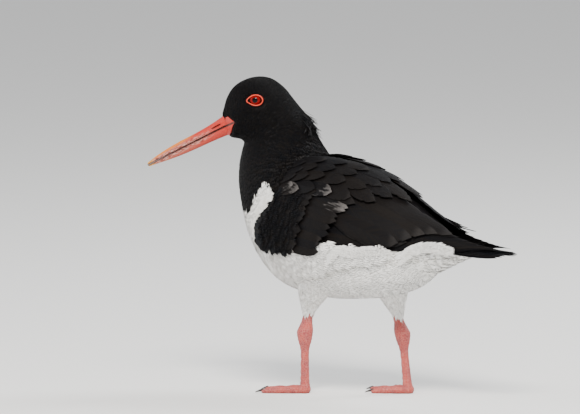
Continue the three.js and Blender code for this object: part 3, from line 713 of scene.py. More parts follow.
def rotation(name, description, degrees):
    """An angle that a user may change."""
    return FloatProperty(name=name, description=description, default=math.radians(degrees), unit="ROTATION")


def metres(name, description, default):
    """A length in metres that a user may change."""
    return FloatProperty(name=name, description=description, default=default, unit="LENGTH")


def colour(name, description, default):
    """A colour that a user may change."""
    settings = {"subtype": "COLOR", "size": 3, "min": 0.0, "max": 1.0}
    return FloatVectorProperty(name=name, description=description, default=default, **settings)


class FeatherLooks(bpy.types.PropertyGroup):
    dark: colour("Black", "Fresh black feathers", (0.0017, 0.0020, 0.0032))
    dark_brown: colour("Brown black", "Older black feathers", (0.0056, 0.0042, 0.0036))
    worn: colour("Worn edge", "Bleached, frayed tips and edges", (0.098, 0.090, 0.086))
    white: colour("White", "White feathers", (0.88, 0.87, 0.85))
    white_shade: colour("White shade", "Greyer parts of the white", (0.70, 0.685, 0.645))
    density: FloatProperty(name="Density", description="Feathers against the usual number", default=1.0)


class BillLooks(bpy.types.PropertyGroup):
    base: colour("Base", "Orange-red of the base", (0.42, 0.017, 0.008))
    worn: colour("Worn horn", "Pinkish brown of the worn outer half", (0.34, 0.060, 0.036))
    ridge: colour("Ridge", "Yellow-orange of the outer ridge", (0.60, 0.17, 0.010))
    tip: colour("Tip", "Yellowish tip", (0.58, 0.27, 0.03))
    flake: colour("Flakes", "Pale flaking along the mouth", (0.48, 0.29, 0.24))


class EyeLooks(bpy.types.PropertyGroup):
    radius: length("Eyeball radius", "Radius of the eyeball", 6.3)
    iris: length("Iris radius", "Radius of the iris", 3.9)
    pupil: length("Pupil radius", "Radius of the pupil", 2.1)
    ring_long: length("Ring length", "Half the ring's length, to its middle", 5.4)
    ring_high: length("Ring height", "Half the ring's height, to its middle", 4.1)
    ring_tube: length("Ring thickness", "Radius of the ring's tube", 0.5)
    ring_corner: length("Corner", "How far the ring is drawn out towards the bill", 1.7)
    iris_colour: colour("Iris", "Red of the iris", (0.25, 0.002, 0.002))
    ring_colour: colour("Ring", "Orange-red of the bare ring", (0.62, 0.034, 0.008))


class LegLooks(bpy.types.PropertyGroup):
    shin: length("Shin radius", "Radius above the heel", 4.2)
    heel: length("Heel radius", "Radius of the heel joint", 6.6)
    shank: length("Shank radius", "Radius of the shank", 3.5)
    ankle: length("Ankle radius", "Radius above the toes", 4.6)
    toe_root: length("Toe root radius", "Radius at a toe's root", 3.5)
    toe_tip: length("Toe tip radius", "Radius at a toe's end", 1.9)
    claw: length("Claw length", "Length of a claw", 5.2)
    skin: colour("Skin", "Pink of the legs", (0.41, 0.054, 0.044))
    shade: colour("Skin shade", "Purplish red of the duller parts", (0.26, 0.042, 0.048))
    seam: colour("Scale seams", "Paler pink between the scales", (0.58, 0.21, 0.165))
    claw_colour: colour("Claw", "Dark horn", (0.03, 0.024, 0.022))


class StageLooks(bpy.types.PropertyGroup):
    azimuth: rotation("Azimuth", "Camera angle", 37)
    elevation: rotation("Elevation", "Camera height", 5)
    distance: metres("Distance", "Camera distance", 9.0)
    frame_width: metres("Frame width", "Width seen", 0.4524)
    floor: colour("Floor", "Floor and backdrop", (0.80, 0.79, 0.77))


class OystercatcherSettings(bpy.types.PropertyGroup):
    feathers: PointerProperty(type=FeatherLooks)
    bill: PointerProperty(type=BillLooks)
    eye: PointerProperty(type=EyeLooks)
    leg: PointerProperty(type=LegLooks)
    stage: PointerProperty(type=StageLooks)


def settings():
    """The scene's own sizes and colours."""
    return bpy.context.scene.oystercatcher


def feathers(name, *looks):
    """A feather material by name, made the first time it is asked for."""
    return bpy.data.materials.get(name) or feather_finish(name, settings().feathers, *looks)


def body_feathers():
    return feathers("body_feathers", 7, 0.2, 0.52, 0.06)


def wing_feathers():
    return feathers("wing_feathers", 46, 0.3, 0.5, 0.012)


# Markings


def whiteness(at):
    """1 where the coat is white, by place in the solids' unshifted frame."""
    x, z = at[..., 0], at[..., 2]
    rear = np.interp(z, SPUR_HEIGHTS, SPUR_REAR)
    front = np.interp(z, SPUR_HEIGHTS, SPUR_FRONT)
    breast = (z < SPUR_HEIGHTS[-1]) & (x < rear) & (x > front)
    below = (z < WHITE_BELOW) & (x >= rear)
    rump = (x > RUMP_FROM) & ((z < RUMP_TOP) | (x > RUMP_BEHIND))
    return (breast | below | rump).astype(float)


def ragged(at, seed, reach=0.6):
    """The same, with each feather's root moved a little so that the edge is ragged."""
    rng = np.random.default_rng(seed)
    return whiteness(at + rng.normal(0, reach, at.shape))


def eye_clear(at):
    """Whether places are clear of both eyes' rings, with room for the feathers in front to end."""
    looks = settings().eye
    clear = np.ones(at.shape[:-1], bool)
    for side in SIDES.values():
        centre = turned(EYE_ALONG - EYE_ROOM_AHEAD, side * EYE_SIDE, EYE_HEIGHT - EYE_ROOM_BELOW)
        ahead = turned(0, side * EYE_SIDE, EYE_HEIGHT) - turned(1, side * EYE_SIDE, EYE_HEIGHT)
        off = at - centre
        along = off @ ahead
        long = looks.ring_long + looks.ring_tube + EYE_ROOM_LONG
        high = looks.ring_high + looks.ring_tube + EYE_ROOM_HIGH
        far = np.linalg.norm(off, axis=-1) > EYE_ROOM_REACH
        clear &= ((along / long) ** 2 + (off[..., 2] / high) ** 2 > 1) | far
    return clear


def gape_tall(off, above):
    """The height of the mouth's bare corner over or under its middle, with off from -1 in front to 1."""
    upper = np.clip(GAPE_OVER - GAPE_FALL * off, *GAPE_OVER_RANGE)
    lower = GAPE_UNDER * (1 - smooth((off - GAPE_FADE_FROM) / GAPE_FADE)) + GAPE_UNDER_LEAST
    return np.where(above > 0, upper, lower)


def gape_clear(a, b):
    """Whether places are clear of the bare corners of the mouth."""
    along, _, height, _ = BodyForm().section(a, b)
    off = (along - GAPE_ALONG) / GAPE_LONG
    above = height - GAPE_HEIGHT - GAPE_RISE * off
    return (off**2 + (above / gape_tall(off, above)) ** 2 > 1) | (a < 17)


# Operators


class OYSTERCATCHER_OT_stage(bpy.types.Operator):
    """Floor, backdrop, soft lights and the camera"""

    bl_idname = "oystercatcher.stage"
    bl_label = "Stage"

    def execute(self, context):
        looks = settings().stage
        self.floor(looks)
        self.camera(looks)
        self.lights()
        return {"FINISHED"}

    def floor(self, looks):
        bm = bmesh.new()
        bmesh.ops.create_grid(bm, x_segments=1, y_segments=1, size=FLOOR_HALF)
        mesh = bpy.data.meshes.new("floor")
        bm.to_mesh(mesh)
        bm.free()
        finish = Finish("floor").set(Base_Color=looks.floor, Roughness=0.9, Specular_IOR_Level=0.2)
        mesh.materials.append(finish.material)
        linked("floor", mesh)
        world = bpy.data.worlds.new("studio")
        world.use_nodes = True
        background = world.node_tree.nodes["Background"]
        background.inputs[0].default_value = (0.93, 0.95, 0.98, 1)
        background.inputs[1].default_value = 0.8
        bpy.context.scene.world = world

    def camera(self, looks):
        a, e = looks.azimuth, looks.elevation
        right = Vector((math.cos(a), math.sin(a), 0))
        back = Vector((math.sin(a) * math.cos(e), -math.cos(a) * math.cos(e), math.sin(e)))
        up = back.cross(right)
        aim = right * AIM_ACROSS + up * AIM_UP + Vector(CENTRE_SHIFT) * MM
        data = bpy.data.cameras.new("camera")
        data.sensor_width = 36.0
        data.lens = data.sensor_width * looks.distance / looks.frame_width
        data.clip_end = 100
        bpy.context.scene.camera = self.aimed("camera", data, aim + back * looks.distance, -back)

    def aimed(self, name, data, at, ahead):
        """A camera or lamp at a place, looking ahead."""
        obj = linked(name, data)
        obj.location = at
        obj.rotation_mode = "QUATERNION"
        obj.rotation_quaternion = ahead.to_track_quat("-Z", "Y")
        return obj

    def lights(self):
        lamps = [
            ("key", (1.0, -1.4, 1.8), 0.9, 95, (1.0, 0.97, 0.92)),
            ("fill", (-1.7, -0.9, 0.8), 1.4, 18, (0.92, 0.96, 1.0)),
            ("rim", (0.6, 1.6, 1.5), 1.0, 40, (0.95, 0.98, 1.0)),
        ]
        for name, at, size, power, tone in lamps:
            data = bpy.data.lights.new(name, "AREA")
            data.shape = "DISK"
            data.size = size
            data.energy = power
            data.color = tone
            self.aimed(name, data, at, Vector(LAMP_AIM) - Vector(at))


class OYSTERCATCHER_OT_skin(bpy.types.Operator):
    """One skin from the tail root to the bill, under the coat"""

    bl_idname = "oystercatcher.skin"
    bl_label = "Skin"

    def execute(self, context):
        form = BodyForm()

        def place(v, angle):
            a = np.clip(v * (FOREHEAD + 1), 0, FOREHEAD + 1)
            depth = np.interp(a, COAT_STATIONS, COAT_DEPTH)
            closed = np.clip(v / 0.004, 0, 1)[:, None]
            root = form.place(a, 0 * angle, -depth) * 0.5 + form.place(a, 0 * angle + math.pi, -depth) * 0.5
            return root * (1 - closed) + form.place(a, angle, -depth) * closed

        skin = formed("skin", 96, 260, place)
        co = np.array([v.co for v in skin.data.vertices]) / MM - CENTRE_SHIFT
        set_attribute(skin.data, "white", whiteness(co))
        finish = Finish("skin")
        looks = settings().feathers
        grain = finish.noise(600, 3.0)
        white = finish.attribute("white")
        light = finish.blend(grain, looks.white_shade, looks.white)
        dark = finish.blend(grain, looks.dark, looks.dark_brown)
        finish.set(Base_Color=finish.blend(white, dark, light), Roughness=0.8, Specular_IOR_Level=0.05)
        finish.bump(grain, 0.4, 0.0005)
        finish_piece(skin, finish.material, ["torso", "neck", "head"])
        return {"FINISHED"}


def coat_piece(name, low, high, shape, spacing_share, seed, keep=None, thick=0.14, tuck=0.0):
    """One part of the body's coat, strewn between two stations."""
    form = BodyForm()
    density = settings().feathers.density

    def spacing(a, b):
        return np.interp(a, COAT_STATIONS, COAT_LENGTH) * spacing_share / math.sqrt(density)

    def wanted(a, b, at):
        good = eye_clear(at + CENTRE_SHIFT) & gape_clear(a, b)
        return good & keep(a, b, at) if keep else good

    a, b = scatter(form, low, high, spacing, wanted, seed)
    rng = np.random.default_rng(seed + 1)
    count = len(a)
    long = np.interp(a, COAT_STATIONS, COAT_LENGTH) * rng.uniform(0.85, 1.2, count)
    half = np.interp(a, COAT_STATIONS, COAT_HALF) * rng.uniform(0.85, 1.15, count)
    depth = np.interp(a, COAT_STATIONS, COAT_DEPTH)
    lifts = (-depth, rng.uniform(-0.08, 0.06, count) * depth - tuck * 0.8)
    turn = rng.normal(0, 0.09, count)
    places = lay(form, a, b, shape, long, half, lifts, thick, turn, curl=tuck)
    seen = mix(places.mean(axis=1), places[:, -1], 0.5) - CENTRE_SHIFT
    white = ragged(seen, seed + 2)
    tint = rng.uniform(0, 1, count)
    # On the white coat the tint, which greys a feather towards the white shade, starts at 0.2 so that the
    # belly is painted in shade, greyer than the lit flank. It rises in a band just under the flank feathers'
    # lower edge, which is a painted shadow cast by them.
    under = np.interp(seen[:, 0], FLANK_X, FLANK_Z) - seen[:, 2]
    tint = np.where(white > 0, 0.2 + 0.4 * tint + 1.6 * np.exp(-(((under - 1) / 2.2) ** 2)), tint)
    coat_mesh(name, form, a, b, shape, places, white, tint)


TINY = [(0.3, 0.9), (0.75, 0.85)]
SMALL = [(0.22, 0.75), (0.6, 1.0), (0.88, 0.62)]
FLUFF = [(0.35, 1.0), (0.8, 0.8)]


class OYSTERCATCHER_OT_head_coat(bpy.types.Operator):
    """Short black feathers of the head and neck, and the loose ones of the nape"""

    bl_idname = "oystercatcher.head_coat"
    bl_label = "Head and neck coat"

    def execute(self, context):
        tuft = leaf(TINY, lobes=3, fan=0.75)
        coat_piece("coat_face", 19.0, FOREHEAD + 0.97, tuft, 0.2, 11, thick=0.05)
        coat_piece("coat_head", 15.6, 19.0, tuft, 0.175, 12, thick=0.06)
        coat_piece("coat_neck", 12.6, 15.6, tuft, 0.15, 13, thick=0.07)
        coat_piece("coat_throat", 11.2, 12.6, tuft, 0.14, 15, thick=0.08)
        self.nape()
        for name, side in SIDES.items():
            self.spur(name, side)
        return {"FINISHED"}

    def spur(self, name, side):
        """The white brush at the breast's side, whose long strands sweep up before the wing."""
        form = BodyForm()
        rng = np.random.default_rng(17 + side)
        x, z = rng.uniform(-74, -46, SPUR_TRIES), rng.uniform(104, 160, SPUR_TRIES)
        lean = np.radians(np.interp(z, *SPUR_LEAN))
        long = rng.uniform(8, 12, SPUR_TRIES)
        roots = np.stack([x, 0 * x, z], -1)
        ends = np.stack([x + long * np.cos(lean) * 0.75, 0 * x, z + long * np.sin(lean) * 0.88], -1)
        good = (whiteness(roots) > 0) & (whiteness(ends) > 0)
        x, z, lean, long = x[good], z[good], lean[good], long[good]
        a, b = form.find(x, z, side, (7, 14))
        count = len(a)
        shape = leaf(FLUFF, lobes=5, fan=0.8)
        lifts = (-1.0, rng.uniform(0.2, 0.7, count))
        turn = -side * (lean + rng.normal(0, 0.06, count))
        places = lay(form, a, b, shape, long, rng.uniform(1.2, 1.7, count), lifts, 0.1, turn)
        tint = rng.uniform(0, 1.4, count)
        coat_mesh(f"coat_spur_{name}", form, a, b, shape, places, 1.0, tint)

    def nape(self):
        form = BodyForm()
        rng = np.random.default_rng(14)
        count = NAPE_COUNT
        a = rng.uniform(13.6, 15.6, count)
        b = np.mod(rng.normal(0, 0.3, count), FULL_TURN)
        long = rng.uniform(9, 15, count)
        lifts = (-1.2, rng.uniform(0.0, 3.4, count) ** 1.2)
        shape = leaf([(0.25, 0.9), (0.55, 0.8), (0.85, 0.4)])
        half = rng.uniform(0.7, 1.2, count)
        places = lay(form, a, b, shape, long, half, lifts, 0.12, rng.normal(0, 0.22, count))
        tint = rng.uniform(0, 1, count)
        coat_mesh("coat_nape", form, a, b, shape, places, 0.0, tint)


class OYSTERCATCHER_OT_body_coat(bpy.types.Operator):
    """Breast, mantle, belly and rump feathers"""

    bl_idname = "oystercatcher.body_coat"
    bl_label = "Body coat"

    def execute(self, context):
        def low(a, b, at):
            x, z = at[:, 0], at[:, 2]
            return (z < BELLY_TOP) | (x > VENT_FROM) | ((x < BREAST_TO) & (z < BREAST_TOP))

        def mantle(a, b, at):
            return (at[:, 2] > MANTLE_FLOOR) & (np.abs(at[:, 1]) < MANTLE_SIDE)

        fluff = leaf(FLUFF, lobes=5, fan=0.85)
        tuft = leaf(TINY, lobes=3, fan=0.75)
        coat_piece("coat_breast", 8.9, 11.2, tuft, 0.14, 21, thick=0.08)
        coat_piece("coat_belly_front", 6.0, 8.9, fluff, 0.145, 22, low, 0.06, -0.9)
        coat_piece("coat_belly_rear", 0.35, 6.0, fluff, 0.145, 23, low, 0.06, -0.9)
        coat_piece("coat_mantle", 5.5, 8.9, leaf(SMALL), 0.2, 24, mantle, thick=0.09)
        return {"FINISHED"}


class OYSTERCATCHER_OT_bill(bpy.types.Operator):
    """Upper and lower bill with the mouth line and nostrils"""

    bl_idname = "oystercatcher.bill"
    bl_label = "Bill"

    def execute(self, context):
        axis = np.array(BILL_TIP) - np.array(BILL_BASE)
        long = np.linalg.norm(axis)
        axis = axis / long
        up = np.array([-axis[1], axis[0]])
        up = up if up[1] > 0 else -up
        material = self.horn(settings().bill, up)

        def at(share, side, above):
            along = BILL_BASE[0] + axis[0] * share * long + up[0] * above
            height = BILL_BASE[1] + axis[1] * share * long + up[1] * above
            return turned(along, side, height)

        for name, sign, shares, deep in (
            ("upper", 1, BILL_TOP_SHARES, BILL_ABOVE),
            ("lower", -1, BILL_BOTTOM_SHARES, BILL_BELOW),
        ):

            def place(v, angle):
                t = smooth(np.clip(v, 0, 1)) * 0.35 + np.clip(v, 0, 1) * 0.65
                share = mix(-BILL_ROOT / long, 1.0, t)
                s = np.clip(share, 0, 1) * (len(shares) - 1)
                half = BILL_HALF * catmull(BILL_HALF_SHARES, s)
                high = deep * catmull(shares, s)
                end = np.sqrt(np.clip((1 - t) / 0.012, 0, 1)) * np.sqrt(np.clip(t / 0.01, 0, 1))
                c, d = np.cos(angle), np.sin(angle)
                outer = np.clip(c, 0, 1) ** 0.92 * high
                inner = -np.clip(-c, 0, 1) * 0.02 * high
                above = sign * (0.14 + (outer + inner) * end)
                side = np.sign(d) * np.abs(d) ** 0.82 * half * end
                if sign > 0:
                    middle = (NOSTRIL_FROM + NOSTRIL_TO) / 2
                    level = (above - NOSTRIL_ABOVE - NOSTRIL_TILT * (share - middle)) / 0.6
                    reach = (share - middle) / ((NOSTRIL_TO - NOSTRIL_FROM) / 2)
                    slot = np.clip(1 - level**2 - reach**4, 0, 1) ** 0.5
                    groove = np.exp(-(((above - 3.2) / 1.3) ** 2)) * smooth((0.5 - share) / 0.3)
                    side = side * (1 - 0.34 * slot - 0.07 * groove * (share > 0.02))
                side = side * (1 - 0.2 * np.exp(-((above / 0.6) ** 2)))
                return at(share, side, above)

            piece = formed(f"bill_horn_{name}", 112, 200, place)
            finish_piece(piece, material, [f"bill_{name}"])
        for name, side in SIDES.items():
            self.gape(name, side, material)
        return {"FINISHED"}

    def gape(self, name, side, material):
        form = BodyForm()

        def place(v, angle):
            reach = np.sin(math.pi * v)
            off = reach * np.cos(angle)
            middle = GAPE_HEIGHT + GAPE_RISE * off
            height = middle + gape_tall(off, np.sin(angle)) * reach * np.sin(angle)
            a, b = form.find(GAPE_ALONG + GAPE_LONG * off, height, side, (16.5, FOREHEAD), ahead=True)
            fold = 0.6 * np.exp(-(((height - middle) / 0.5) ** 2)) * (v < 0.5)
            return form.place(a, b, -1.1 + np.cos(math.pi * v) * 0.8 + 0.3 * reach - fold)

        finish_piece(formed(f"gape_{name}", 28, 20, place), material)

    def horn(self, looks, up):
        finish = Finish("bill_horn")
        base, tip, top = (
            Vector(turned(along, 0, height)) * MM
            for along, height in (BILL_BASE, BILL_TIP, (BILL_BASE[0] + up[0], BILL_BASE[1] + up[1]))
        )
        off = finish.vector("SUBTRACT", finish.where(), base)
        along_unit = (tip - base) / (tip - base).length_squared
        up_unit = (top - base).normalized() / MM
        along = finish.vector("DOT_PRODUCT", off, along_unit, output="Value")
        above = finish.vector("DOT_PRODUCT", off, up_unit, output="Value")
        streak = finish.noise(150, 4.0)
        fine = finish.noise(1400, 3.0)
        worn = (along + (streak - 0.5) * 0.5 - above * 0.012).step(0.34, 0.72)
        ridge = (above + along * 6 + (streak - 0.5) * 1.6).step(7.0, 8.2) * along.step(0.42, 0.6)
        under = (along * 6 - above + (streak - 0.5) * 1.6).step(7.4, 8.6) * along.step(0.7, 0.85)
        ridge = ridge.most(under * 0.8)
        scuff = finish.noise(1.0, 5.0, finish.combine(along * 24, above * 1.7, 0.0))
        near = above.absolute().step(3.9, 1.6) * along.step(0.22, 0.5) * along.step(1.02, 0.94)
        tint = finish.blend(worn * 0.85, looks.base, looks.worn)
        tint = finish.blend(near * scuff.step(0.46, 0.58) * 0.85, tint, looks.flake)
        tint = finish.blend(near * scuff.step(0.5, 0.38) * 0.9, tint, (0.07, 0.03, 0.022))
        tint = finish.blend(ridge * 0.9, tint, looks.ridge)
        tint = finish.blend(along.step(0.9, 0.985), tint, looks.tip)
        # The dark below is painted shade: a band along the mouth line, wider than the slit between the two
        # halves of the bill, stands in for the shade in that slit.
        dark = (0.03, 0.010, 0.008)
        tint = finish.blend(above.absolute().step(1.15, 0.6) * 0.95, tint, dark)
        # The nostril slot is painted with the same dark, as painted shade inside the opening.
        middle = (NOSTRIL_FROM + NOSTRIL_TO) / 2
        slot = ((along - middle) / ((NOSTRIL_TO - NOSTRIL_FROM) / 2)).absolute().step(1.0, 0.75)
        line = (above - NOSTRIL_ABOVE - (along - middle) * NOSTRIL_TILT).absolute().step(0.6, 0.3)
        tint = finish.blend(slot * line * 0.96, tint, dark)
        tint = finish.blend(fine.step(0.45, 0.75) * 0.3, tint, (0.62, 0.17, 0.12))
        finish.set(Base_Color=tint, Roughness=0.36 + fine * 0.18, Specular_IOR_Level=0.35)
        finish.bump(fine + streak, 0.12, 0.0004)
        return finish.material


class OYSTERCATCHER_OT_eyes(bpy.types.Operator):
    """Eyeballs with iris and pupil, and the bare rings round them"""

    bl_idname = "oystercatcher.eyes"
    bl_label = "Eyes"

    def execute(self, context):
        looks = settings().eye
        ring_finish = self.ring_skin(looks)
        for name, side in SIDES.items():
            centre = turned(EYE_ALONG, side * EYE_SIDE, EYE_HEIGHT)
            out = turned(EYE_ALONG - 0.10, side * (EYE_SIDE + 1), EYE_HEIGHT + 0.03) - centre
            out = out / np.linalg.norm(out)
            first = np.cross(out, (0, 0, 1))
            first = first / np.linalg.norm(first)
            second = np.cross(out, first)

            def ball(v, angle):
                polar = math.pi * v[:, None]
                bulge = 1 + 0.05 * np.exp(-((polar / 0.55) ** 2))
                ring = first * np.cos(angle)[:, None] + second * EYE_FLAT * np.sin(angle)[:, None]
                return centre + looks.radius * bulge * (out * np.cos(polar) + ring * np.sin(polar))

            eye = formed(f"eyeball_{name}", 64, 48, ball)
            finish_piece(eye, self.glass(looks, name, centre, out), [f"eye_{name}"])
            self.ring(looks, name, side, ring_finish)
        return {"FINISHED"}

    def glass(self, looks, name, centre, out):
        finish = Finish(f"eye_{name}")
        off = finish.vector("SUBTRACT", finish.where(), tuple(centre * MM))
        deep = finish.vector("DOT_PRODUCT", off, tuple(out / MM), output="Value")
        size = finish.vector("LENGTH", off, output="Value")
        reach = ((size * (1 / MM)) ** 2 - deep**2).most(0.0) ** 0.5
        rays = finish.noise(1300, 4.0)
        deeper = rays * 0.55 + reach.step(4.6, 2.2) * 0.3
        iris = finish.blend(deeper, looks.iris_colour, (0.09, 0.002, 0.002))
        tint = finish.blend(reach.step(looks.pupil + 0.15, looks.pupil - 0.15), iris, (0.002, 0.002, 0.002))
        tint = finish.blend(reach.step(looks.iris - 0.25, looks.iris + 0.25), tint, (0.012, 0.004, 0.004))
        finish.set(Base_Color=tint, Roughness=0.05, Specular_IOR_Level=0.12)
        return finish.material

    def ring(self, looks, name, side, material):
        spun = 6.0
        bm = bmesh.new()
        bmesh.ops.create_circle(bm, segments=16, radius=1.0)
        geom = bm.verts[:] + bm.edges[:]
        for v in bm.verts:
            v.co = Vector((spun + v.co.x, 0, v.co.y))
        spin = {"cent": (0, 0, 0), "axis": (0, 0, 1), "angle": FULL_TURN, "steps": 72, "use_merge": True}
        bmesh.ops.spin(bm, geom=geom, **spin)
        bmesh.ops.remove_doubles(bm, verts=bm.verts, dist=1e-5)
        co = np.array([v.co for v in bm.verts])
        angle = np.arctan2(co[:, 1], co[:, 0])
        radial = np.hypot(co[:, 0], co[:, 1]) - spun
        pebble = 1 + 0.07 * np.sin(angle * 34) * np.cos(np.arctan2(co[:, 2], radial) * 5)
        tube = looks.ring_tube * pebble
        corner = np.maximum(0, -np.cos(angle)) ** 6 * looks.ring_corner
        a = np.cos(angle) * (looks.ring_long + radial * tube) - corner
        h = np.sin(angle) * (looks.ring_high + radial * tube) - corner * 0.35
        ball = EYE_SIDE + np.sqrt(np.maximum(looks.radius**2 - a**2 - (h / EYE_FLAT) ** 2, 0)) + 0.25
        cheek = 17.95 + 0.1 * a - 0.02 * np.abs(h)
        out = np.maximum(ball, cheek) + co[:, 2] * (tube + 0.2)
        for v, at in zip(bm.verts, turned(EYE_ALONG + a, side * out, EYE_HEIGHT + h) * MM):
            v.co = at
        finish_piece(closed_object(f"eye_ring_{name}", bm), material, [f"eyelid_{name}"])

    def ring_skin(self, looks):
        finish = Finish("eye_ring")
        grain = finish.noise(2600, 3.0)
        tint = finish.blend(grain * 0.5, looks.ring_colour, (0.62, 0.05, 0.012))
        finish.set(Base_Color=tint, Roughness=0.42 + grain * 0.15)
        finish.bump(grain, 0.3, 0.0003)
        return finish.material


class OYSTERCATCHER_OT_legs(bpy.types.Operator):
    """Feathered thighs, scaled legs and toes, and claws"""

    bl_idname = "oystercatcher.legs"
    bl_label = "Legs"

    def execute(self, context):
        looks = settings().leg
        skin = self.leg_skin(looks)
        horn = Finish("claw_horn").set(Base_Color=looks.claw_colour, Roughness=0.35).material
        for name, side in SIDES.items():
            joints = {key: np.array([at[0], side * LEG_SIDE[key], at[1]]) for key, at in LEGS[name].items()}
            self.thigh(name, joints)
            self.leg(name, joints, looks, skin)
            for toe, (long, spread) in TOES.items():
                self.toe(name, side, joints["foot"], toe, long, spread, looks, skin, horn)
        return {"FINISHED"}

    def leg_skin(self, looks):
        finish = Finish("leg_skin")
        inputs = {"Vector": finish.where(), "Scale": 620.0}
        crack = finish.add("ShaderNodeTexVoronoi", {"feature": "DISTANCE_TO_EDGE"}, inputs).step(0.0, 0.16)
        blotch = finish.noise(160, 3.0)
        tint = finish.blend(blotch.step(0.35, 0.7), looks.skin, looks.shade)
        tint = finish.blend((1 - crack) * 0.55, tint, looks.seam)
        finish.set(Base_Color=tint, Roughness=0.5 + blotch * 0.2, Specular_IOR_Level=0.4)
        finish.bump(crack + blotch * 0.3, 0.35, 0.0004)
        return finish.material

    def tube(self, name, form, around, rows, relief=None):
        def place(v, angle):
            inner = np.clip((v * rows - 1) / (rows - 2), 0, 1)
            at = form.place(inner, angle, relief(inner, angle) if relief else 0.0)
            axis = form.place(inner, angle, 0.0) * 0.5 + form.place(inner, angle + math.pi, 0.0) * 0.5
            ends = (v < 0.5 / rows) | (v > 1 - 0.5 / rows)
            return np.where(ends[:, None], axis, at)

        return formed(name, around, rows, place)

    def thigh(self, name, joints):
        hip, knee, heel = (joints[key] for key in ("hip", "knee", "heel"))
        places = [hip + (0, 0, 12), hip, mix(hip, knee, 0.55), knee]
        places += [mix(knee, heel, 0.35), mix(knee, heel, 0.8)]
        form = LimbForm(places, [22, 19, 12.5, 7, 5.2, 5.0], 0.8)
        core = self.tube(f"thigh_skin_{name}", LimbForm(places[:4], [19.5, 17, 10.8, 5.4], 0.8), 32, 30)
        set_attribute(core.data, "white", np.ones(len(core.data.vertices)))
        finish_piece(core, bpy.data.materials["skin"], [f"thigh_{name}"])
        rng = np.random.default_rng(31 + SIDES[name])

        def spacing(a, b):
            return mix(1.9, 1.2, a)

        a, b = scatter(form, 0.06, THIGH_DOWN, spacing, lambda a, b, at: a > -1, 33 + SIDES[name])
        count = len(a)
        shape = leaf(FLUFF, lobes=4, fan=0.9)
        long = mix(14.0, 6.5, a / THIGH_DOWN) * rng.uniform(0.8, 1.2, count)
        lifts = (-1.6, rng.uniform(-0.7, 0.3, count))
        half = mix(2.6, 1.1, a / THIGH_DOWN)
        places = lay(form, a, b, shape, long, half, lifts, 0.08, rng.normal(0, 0.12, count))
        tint = rng.uniform(0, 1, count)
        coat_mesh(f"coat_thigh_{name}", form, a, b, shape, places, 1.0, tint)

    def leg(self, name, joints, looks, skin):
        knee, heel, foot = joints["knee"], joints["heel"], joints["foot"]
        shares = [-0.35, 0.4, 0.8]
        places = [mix(knee, heel, s) for s in shares]
        places += [heel, *(mix(heel, foot, s) for s in (0.13, 0.3, 0.6, 0.82, 0.93)), foot + (-0.6, 0, 0.6)]
        shin, joint, shank, ankle = looks.shin, looks.heel, looks.shank, looks.ankle
        radii = [shin, shin, joint * 0.9, joint, joint * 0.84, shank, shank, shank * 1.08, ankle, 3.0]
        form = LimbForm(places, radii, 0.86)

        def relief(v, angle):
            scutes = np.abs(np.sin(v * 62)) ** 0.6 * np.clip(-np.cos(angle), 0, 1) ** 0.7
            net = np.sin(v * 130) * np.sin(angle * 9)
            tendon = -0.35 * np.exp(-(((np.cos(angle) - 0.1) / 0.35) ** 2)) * smooth((v - 0.45) / 0.1)
            return -0.15 + 0.36 * scutes + 0.12 * net + tendon

        piece = self.tube(f"leg_scales_{name}", form, 48, 150, relief)
        finish_piece(piece, skin, [f"leg_{name}"])

    def toe(self, name, side, foot, toe, long, spread, looks, skin, horn):
        angle = math.radians(spread) * -side
        ahead = np.array([-math.cos(angle), math.sin(angle), 0.0])
        across = np.array([ahead[1], -ahead[0], 0.0])
        up = np.array([0.0, 0.0, 1.0])
        root, tip, flat = looks.toe_root, looks.toe_tip, 0.4

        def toe_place(v, turn):
            t = np.clip((v * TOE_ROWS - 1) / (TOE_ROWS - 2), 0, 1)
            r = mix(root, tip, t) * (1 + 0.10 * np.cos(t * FULL_TURN * 3))
            r = r * np.sqrt(np.clip((1.03 - t) / 0.16, 0, 1)) ** 0.8
            closed = np.where((v < 0.5 / TOE_ROWS) | (v > 1 - 0.5 / TOE_ROWS), 0.0, 1.0)
            scutes = 1 + 0.05 * np.abs(np.sin(t * 44)) ** 0.6 * np.clip(np.cos(turn), 0, 1)
            r = (r * scutes * closed)[:, None]
            middle = foot + ahead * mix(-1.0, long, t)[:, None] + up * (mix(root, tip, t) - flat)[:, None]
            at = middle + across * (r * 1.12 * np.sin(turn)[:, None]) + up * (r * np.cos(turn)[:, None])
            at[:, 2] = np.maximum(at[:, 2], 0.0)
            return at + CENTRE_SHIFT

        piece = formed(f"toe_scales_{name}_{toe}", 28, TOE_ROWS, toe_place)
        finish_piece(piece, skin, [f"toe_{name}_{toe}"])

        def claw_place(v, turn):
            t = np.clip(v * 1.02 - 0.01, 0, 1)
            r = (mix(1.55, 0.3, t**0.8) * np.sqrt(np.clip(np.minimum(t, 1 - t) / 0.04, 0, 1)))[:, None]
            middle = foot + ahead * (long - 1.8 + (looks.claw + 1.8) * t)[:, None]
            middle = middle + up * mix(2.5, 0.75, t**1.8)[:, None] + CENTRE_SHIFT
            return middle + across * (r * 0.8 * np.sin(turn)[:, None]) + up * (r * np.cos(turn)[:, None])

        claw = formed(f"claw_horn_{name}_{toe}", 20, 24, claw_place)
        finish_piece(claw, horn, [f"claw_{name}_{toe}"])


